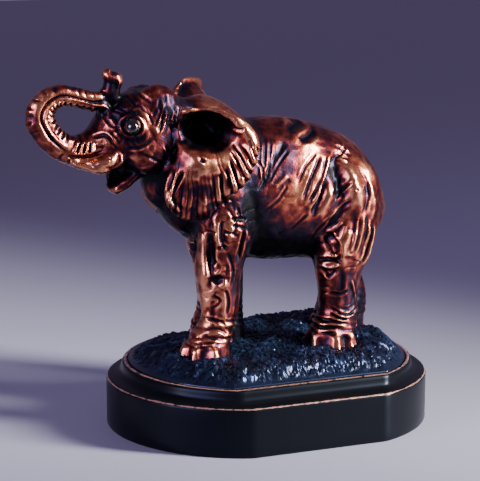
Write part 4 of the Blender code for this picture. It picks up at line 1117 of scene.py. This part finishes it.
def coppered_resin():
    """Cast resin, copper-plated, darkened with a black patina and rubbed back by hand, then waxed.

    What stands proud shows bright copper. What lies sheltered keeps a near-black patina, which passes
    through purple-brown into the copper; the same stored value also carries painted shade, under things,
    along the top and where less air is seen, and painted highlights where the lights fall. The wax is thin:
    a slight gloss over both."""
    made, tree = new_material("coppered_resin")
    blotches = combined(tree, "MULTIPLY_ADD", noise(tree, 420.0, 5.0, 0.62), 0.14, -0.07)
    clouds = combined(tree, "MULTIPLY_ADD", noise(tree, 75.0, 3.0), 0.24, -0.12)
    # The stored value holds wear and patina, and painted highlights and painted shade.
    uneven = combined(tree, "ADD", stored(tree, "rubbed"), blotches)
    worn = combined(tree, "ADD", uneven, clouds, clamp=True)
    grain = add_node(tree, "ShaderNodeBump", {"Strength": 0.35, "Distance": 0.0003},
                     {"Height": noise(tree, 900.0, 3.0)})
    surfaced(tree, {"Coat Weight": 0.05, "Coat Roughness": 0.25, "Coat IOR": 1.5}, {
        "Base Color": ramp(tree, worn, [
            (0.0, "#07070d"), (0.2, "#161222"), (0.38, "#2a1622"), (0.52, "#451c24"), (0.68, "#6f2f2b"),
            (0.84, "#a0523f"), (1.0, "#d28a66"),
        ]),
        "Metallic": ramp(tree, worn, [(0.0, 0.95), (0.5, 0.98), (1.0, 1.0)]),
        "Roughness": ramp(tree, worn, [(0.1, 0.42), (0.5, 0.34), (1.0, 0.26)]),
        "Normal": grain.outputs["Normal"],
    })
    return made


def black_earth():
    """The same resin left under its blue-black patina and a thin wax. Its raised chips are painted lighter
    blue, wear with a painted cold highlight, and a blue tint paints a cold light into its reflections.
    """
    made, tree = new_material("black_earth")
    # Raised chips are painted lighter blue: wear with a painted cold highlight.
    worn = combined(tree, "MULTIPLY", stored(tree, "proud"), noise(tree, 160.0, 4.0), clamp=True)
    # The blue specular tint paints a cold light into the reflections.
    surfaced(tree, {
        "Metallic": 0.1, "Roughness": 0.24, "IOR": 1.5, "Specular Tint": (0.5, 0.6, 1.0, 1.0),
    }, {
        "Base Color": ramp(tree, worn, [
            (0.1, "#060a12"), (0.35, "#0c1424"), (0.6, "#1d2942"), (0.9, "#3d466c"),
        ]),
    })
    return made


def black_lacquer():
    """Polished black lacquer over the cast plinth, rubbed through to copper along its two sharp edges; a blue
    tint paints a cold light into its reflections.
    """
    made, tree = new_material("black_lacquer")
    worn = combined(tree, "MULTIPLY", stored(tree, "edge"), noise(tree, 260.0, 4.0, 0.7))
    shown = ramp(tree, worn, [(0.34, 0.0), (0.5, 1.0)])
    colour = add_node(tree, "ShaderNodeMix", {
        "data_type": "RGBA", 6: (*linear("#08090c"), 1.0), 7: (*linear("#e6b49e"), 1.0),
    }, {0: shown})
    scuffed = add_node(tree, "ShaderNodeMapRange", {"To Min": 0.26, "To Max": 0.34},
                       {"Value": noise(tree, 60.0, 2.0)})
    # The blue specular tint paints a cold light into the reflections.
    surfaced(tree, {
        "IOR": 1.45, "Specular IOR Level": 0.12, "Specular Tint": (0.55, 0.7, 1.0, 1.0),
    }, {
        "Base Color": colour.outputs[2], "Metallic": shown, "Roughness": scuffed.outputs["Result"],
    })
    return made


def eye_enamel():
    """Glossy black enamel, dropped on thick: it mirrors the lights as a wet eye does."""
    made, tree = new_material("eye_enamel")
    surfaced(tree, {
        "Base Color": (*linear("#050507"), 1.0), "Roughness": 0.07, "IOR": 1.52,
        "Coat Weight": 1.0, "Coat Roughness": 0.03,
    })
    return made


def plain_floor(colour):
    made, tree = new_material("plain_floor")
    surfaced(tree, {"Base Color": (*colour, 1.0), "Roughness": 0.6})
    return made


def finish_with(piece, made):
    piece.data.materials.clear()
    piece.data.materials.append(made)


def soft_light(name, place, aim, size, power, colour):
    """A soft box with a grid over it, (width, height) in size, turned to face its aim, in metres."""
    bpy.ops.object.light_add(type="AREA", location=place)
    lamp = bpy.context.active_object
    lamp.name = name
    lamp.data.shape = "RECTANGLE"
    lamp.data.size, lamp.data.size_y = size
    lamp.data.spread = math.radians(GRID_SPREAD)
    lamp.data.energy = power
    lamp.data.color = colour
    facing = Vector(aim) - Vector(place)
    lamp.rotation_euler = facing.to_track_quat("-Z", "Y").to_euler()
    return lamp


class ELEPHANT_PG_hide(bpy.types.PropertyGroup):
    carving_grain: bpy.props.FloatProperty(
        name="Carving grain", description="Size of the smallest step that the carving can show",
        default=0.00055, min=0.0003, max=0.003, precision=5, unit="LENGTH")
    comb_pitch: bpy.props.FloatProperty(
        name="Comb pitch", description="Spacing of the folds inside the trunk's curl",
        default=0.0033, min=0.001, max=0.01, precision=4, unit="LENGTH")
    rib_pitch: bpy.props.FloatProperty(
        name="Rib pitch", description="Spacing of the fine ribs on the ears' front lobes",
        default=0.0024, min=0.001, max=0.01, precision=4, unit="LENGTH")
    wrinkle_depth: bpy.props.FloatProperty(
        name="Wrinkle depth", description="Depth of the hide's folds, as a share of their full depth",
        default=1.0, min=0.0, max=2.0, subtype="FACTOR")
    eye_radius: bpy.props.FloatProperty(
        name="Eye radius", description="Radius of the glossy eyeballs",
        default=0.0042, min=0.002, max=0.006, precision=4, unit="LENGTH")


class ELEPHANT_PG_base(bpy.types.PropertyGroup):
    earth_cells: bpy.props.IntProperty(
        name="Earth cells", description="Cells along each side of the earth's surface",
        default=296, min=20, max=300)
    chip_height: bpy.props.FloatProperty(
        name="Chip height", description="Height of the broken chips of earth",
        default=0.0013, min=0.0, max=0.004, precision=4, unit="LENGTH")
    plinth_sides: bpy.props.IntProperty(
        name="Plinth sides", description="Edges round the plinth's oval", default=256, min=48, max=512)


class ELEPHANT_PG_stage(bpy.types.PropertyGroup):
    floor_colour: bpy.props.FloatVectorProperty(
        name="Floor colour", description="Colour of the plain floor", default=linear("#9395a6"),
        size=3, min=0.0, max=1.0, subtype="COLOR")
    air_colour: bpy.props.FloatVectorProperty(
        name="Air colour", description="Colour of the light that comes from all round",
        default=linear("#b7a0d0"), size=3, min=0.0, max=1.0, subtype="COLOR")
    air_strength: bpy.props.FloatProperty(
        name="Air strength", description="Strength of the light from all round", default=0.36, min=0.0,
        max=3.0)
    key_power: bpy.props.FloatProperty(
        name="Key power", description="Power of the soft box on the right", default=5.5, min=0.0, max=100.0,
        unit="POWER")
    fill_power: bpy.props.FloatProperty(
        name="Fill power", description="Power of the broad soft box on the left", default=2.0, min=0.0,
        max=100.0, unit="POWER")
    edge_power: bpy.props.FloatProperty(
        name="Edge power", description="Power of the strip box that lights the front edges", default=0.2,
        min=0.0, max=100.0, unit="POWER")


class ELEPHANT_OT_carve_hide(bpy.types.Operator):
    """Carve the elephant's skin out of the casting's solid and finish it in rubbed copper, with painted light
    and shade
    """

    bl_idname = "elephant.carve_hide"
    bl_label = "Carve Hide"

    def execute(self, context):
        piece = carved_hide(context.scene.elephant_hide)
        finish_with(piece, coppered_resin())
        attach(piece, "root")
        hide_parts("elephant")
        return {"FINISHED"}


class ELEPHANT_OT_set_eyes(bpy.types.Operator):
    """Set a glossy eyeball in each socket"""

    bl_idname = "elephant.set_eyes"
    bl_label = "Set Eyes"

    def execute(self, context):
        gloss = eye_enamel()
        for name, side in (("eye_left", -1.0), ("eye_right", 1.0)):
            piece = glossy_eye(name, side, context.scene.elephant_hide.eye_radius)
            finish_with(piece, gloss)
            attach(piece, "root")
        return {"FINISHED"}


class ELEPHANT_OT_break_earth(bpy.types.Operator):
    """Build the mound of chipped black earth under the feet"""

    bl_idname = "elephant.break_earth"
    bl_label = "Break Earth"

    def execute(self, context):
        piece = broken_earth(context.scene.elephant_base)
        finish_with(piece, black_earth())
        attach(piece, "root")
        return {"FINISHED"}


class ELEPHANT_OT_mould_plinth(bpy.types.Operator):
    """Raise the plinth up its moulded profile and lacquer it black"""

    bl_idname = "elephant.mould_plinth"
    bl_label = "Mould Plinth"

    def execute(self, context):
        piece = moulded_plinth(context.scene.elephant_base.plinth_sides)
        finish_with(piece, black_lacquer())
        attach(piece, "root")
        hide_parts("plinth")
        return {"FINISHED"}


class ELEPHANT_OT_light_stage(bpy.types.Operator):
    """Lay a plain floor, hang the soft boxes and place the camera"""

    bl_idname = "elephant.light_stage"
    bl_label = "Light Stage"

    def execute(self, context):
        stage = context.scene.elephant_stage
        bpy.ops.object.select_all(action="DESELECT")
        bpy.ops.mesh.primitive_plane_add(size=FLOOR_WIDTH, location=(0.0, 0.0, PLINTH_LOW.z))
        floor = named_primitive("floor")
        finish_with(floor, plain_floor(stage.floor_colour))
        world = context.scene.world or bpy.data.worlds.new("air")
        context.scene.world = world
        world.use_nodes = True
        world.node_tree.nodes.clear()
        air = add_node(world.node_tree, "ShaderNodeBackground",
                       {"Color": (*stage.air_colour, 1.0), "Strength": stage.air_strength})
        add_node(world.node_tree, "ShaderNodeOutputWorld", {}, {"Surface": air.outputs[0]})
        soft_light("key_light", KEY_PLACE, AIM, KEY_SIZE, stage.key_power, KEY_COLOUR)
        soft_light("fill_light", FILL_PLACE, AIM, FILL_SIZE, stage.fill_power, FILL_COLOUR)
        soft_light("edge_light", EDGE_PLACE, AIM, EDGE_SIZE, stage.edge_power, EDGE_COLOUR)
        view = bpy.data.cameras.new("camera")
        camera = bpy.data.objects.new("camera", view)
        context.scene.collection.objects.link(camera)
        view.lens = CAMERA_LENS
        view.sensor_width = SENSOR_WIDTH
        camera.location = CAMERA_PLACE
        camera.rotation_euler = (math.radians(90.0 - CAMERA_TILT), 0.0, math.radians(-CAMERA_TURN))
        context.scene.camera = camera
        return {"FINISHED"}


class VIEW3D_PT_elephant(bpy.types.Panel):
    """The steps that build and light the sculpture, with their sizes"""

    bl_label = "Elephant"
    bl_idname = "VIEW3D_PT_elephant"
    bl_space_type = "VIEW_3D"
    bl_region_type = "UI"
    bl_category = "Elephant"

    def draw(self, context):
        scene = context.scene
        for settings, steps in (
            (scene.elephant_hide, ("elephant.carve_hide", "elephant.set_eyes")),
            (scene.elephant_base, ("elephant.break_earth", "elephant.mould_plinth")),
            (scene.elephant_stage, ("elephant.light_stage",)),
        ):
            box = self.layout.box()
            for name in settings.__annotations__:
                box.prop(settings, name)
            for step in steps:
                box.operator(step)


CLASSES = (
    ELEPHANT_PG_hide, ELEPHANT_PG_base, ELEPHANT_PG_stage, ELEPHANT_OT_carve_hide, ELEPHANT_OT_set_eyes,
    ELEPHANT_OT_break_earth, ELEPHANT_OT_mould_plinth, ELEPHANT_OT_light_stage, VIEW3D_PT_elephant,
)


def register():
    for made in CLASSES:
        bpy.utils.register_class(made)
    bpy.types.Scene.elephant_hide = bpy.props.PointerProperty(type=ELEPHANT_PG_hide)
    bpy.types.Scene.elephant_base = bpy.props.PointerProperty(type=ELEPHANT_PG_base)
    bpy.types.Scene.elephant_stage = bpy.props.PointerProperty(type=ELEPHANT_PG_stage)


def unregister():
    del bpy.types.Scene.elephant_stage
    del bpy.types.Scene.elephant_base
    del bpy.types.Scene.elephant_hide
    for made in reversed(CLASSES):
        bpy.utils.unregister_class(made)


def main():
    register()
    bpy.ops.elephant.carve_hide()
    bpy.ops.elephant.set_eyes()
    bpy.ops.elephant.break_earth()
    bpy.ops.elephant.mould_plinth()
    bpy.ops.elephant.light_stage()


if __name__ == "__main__":
    main()
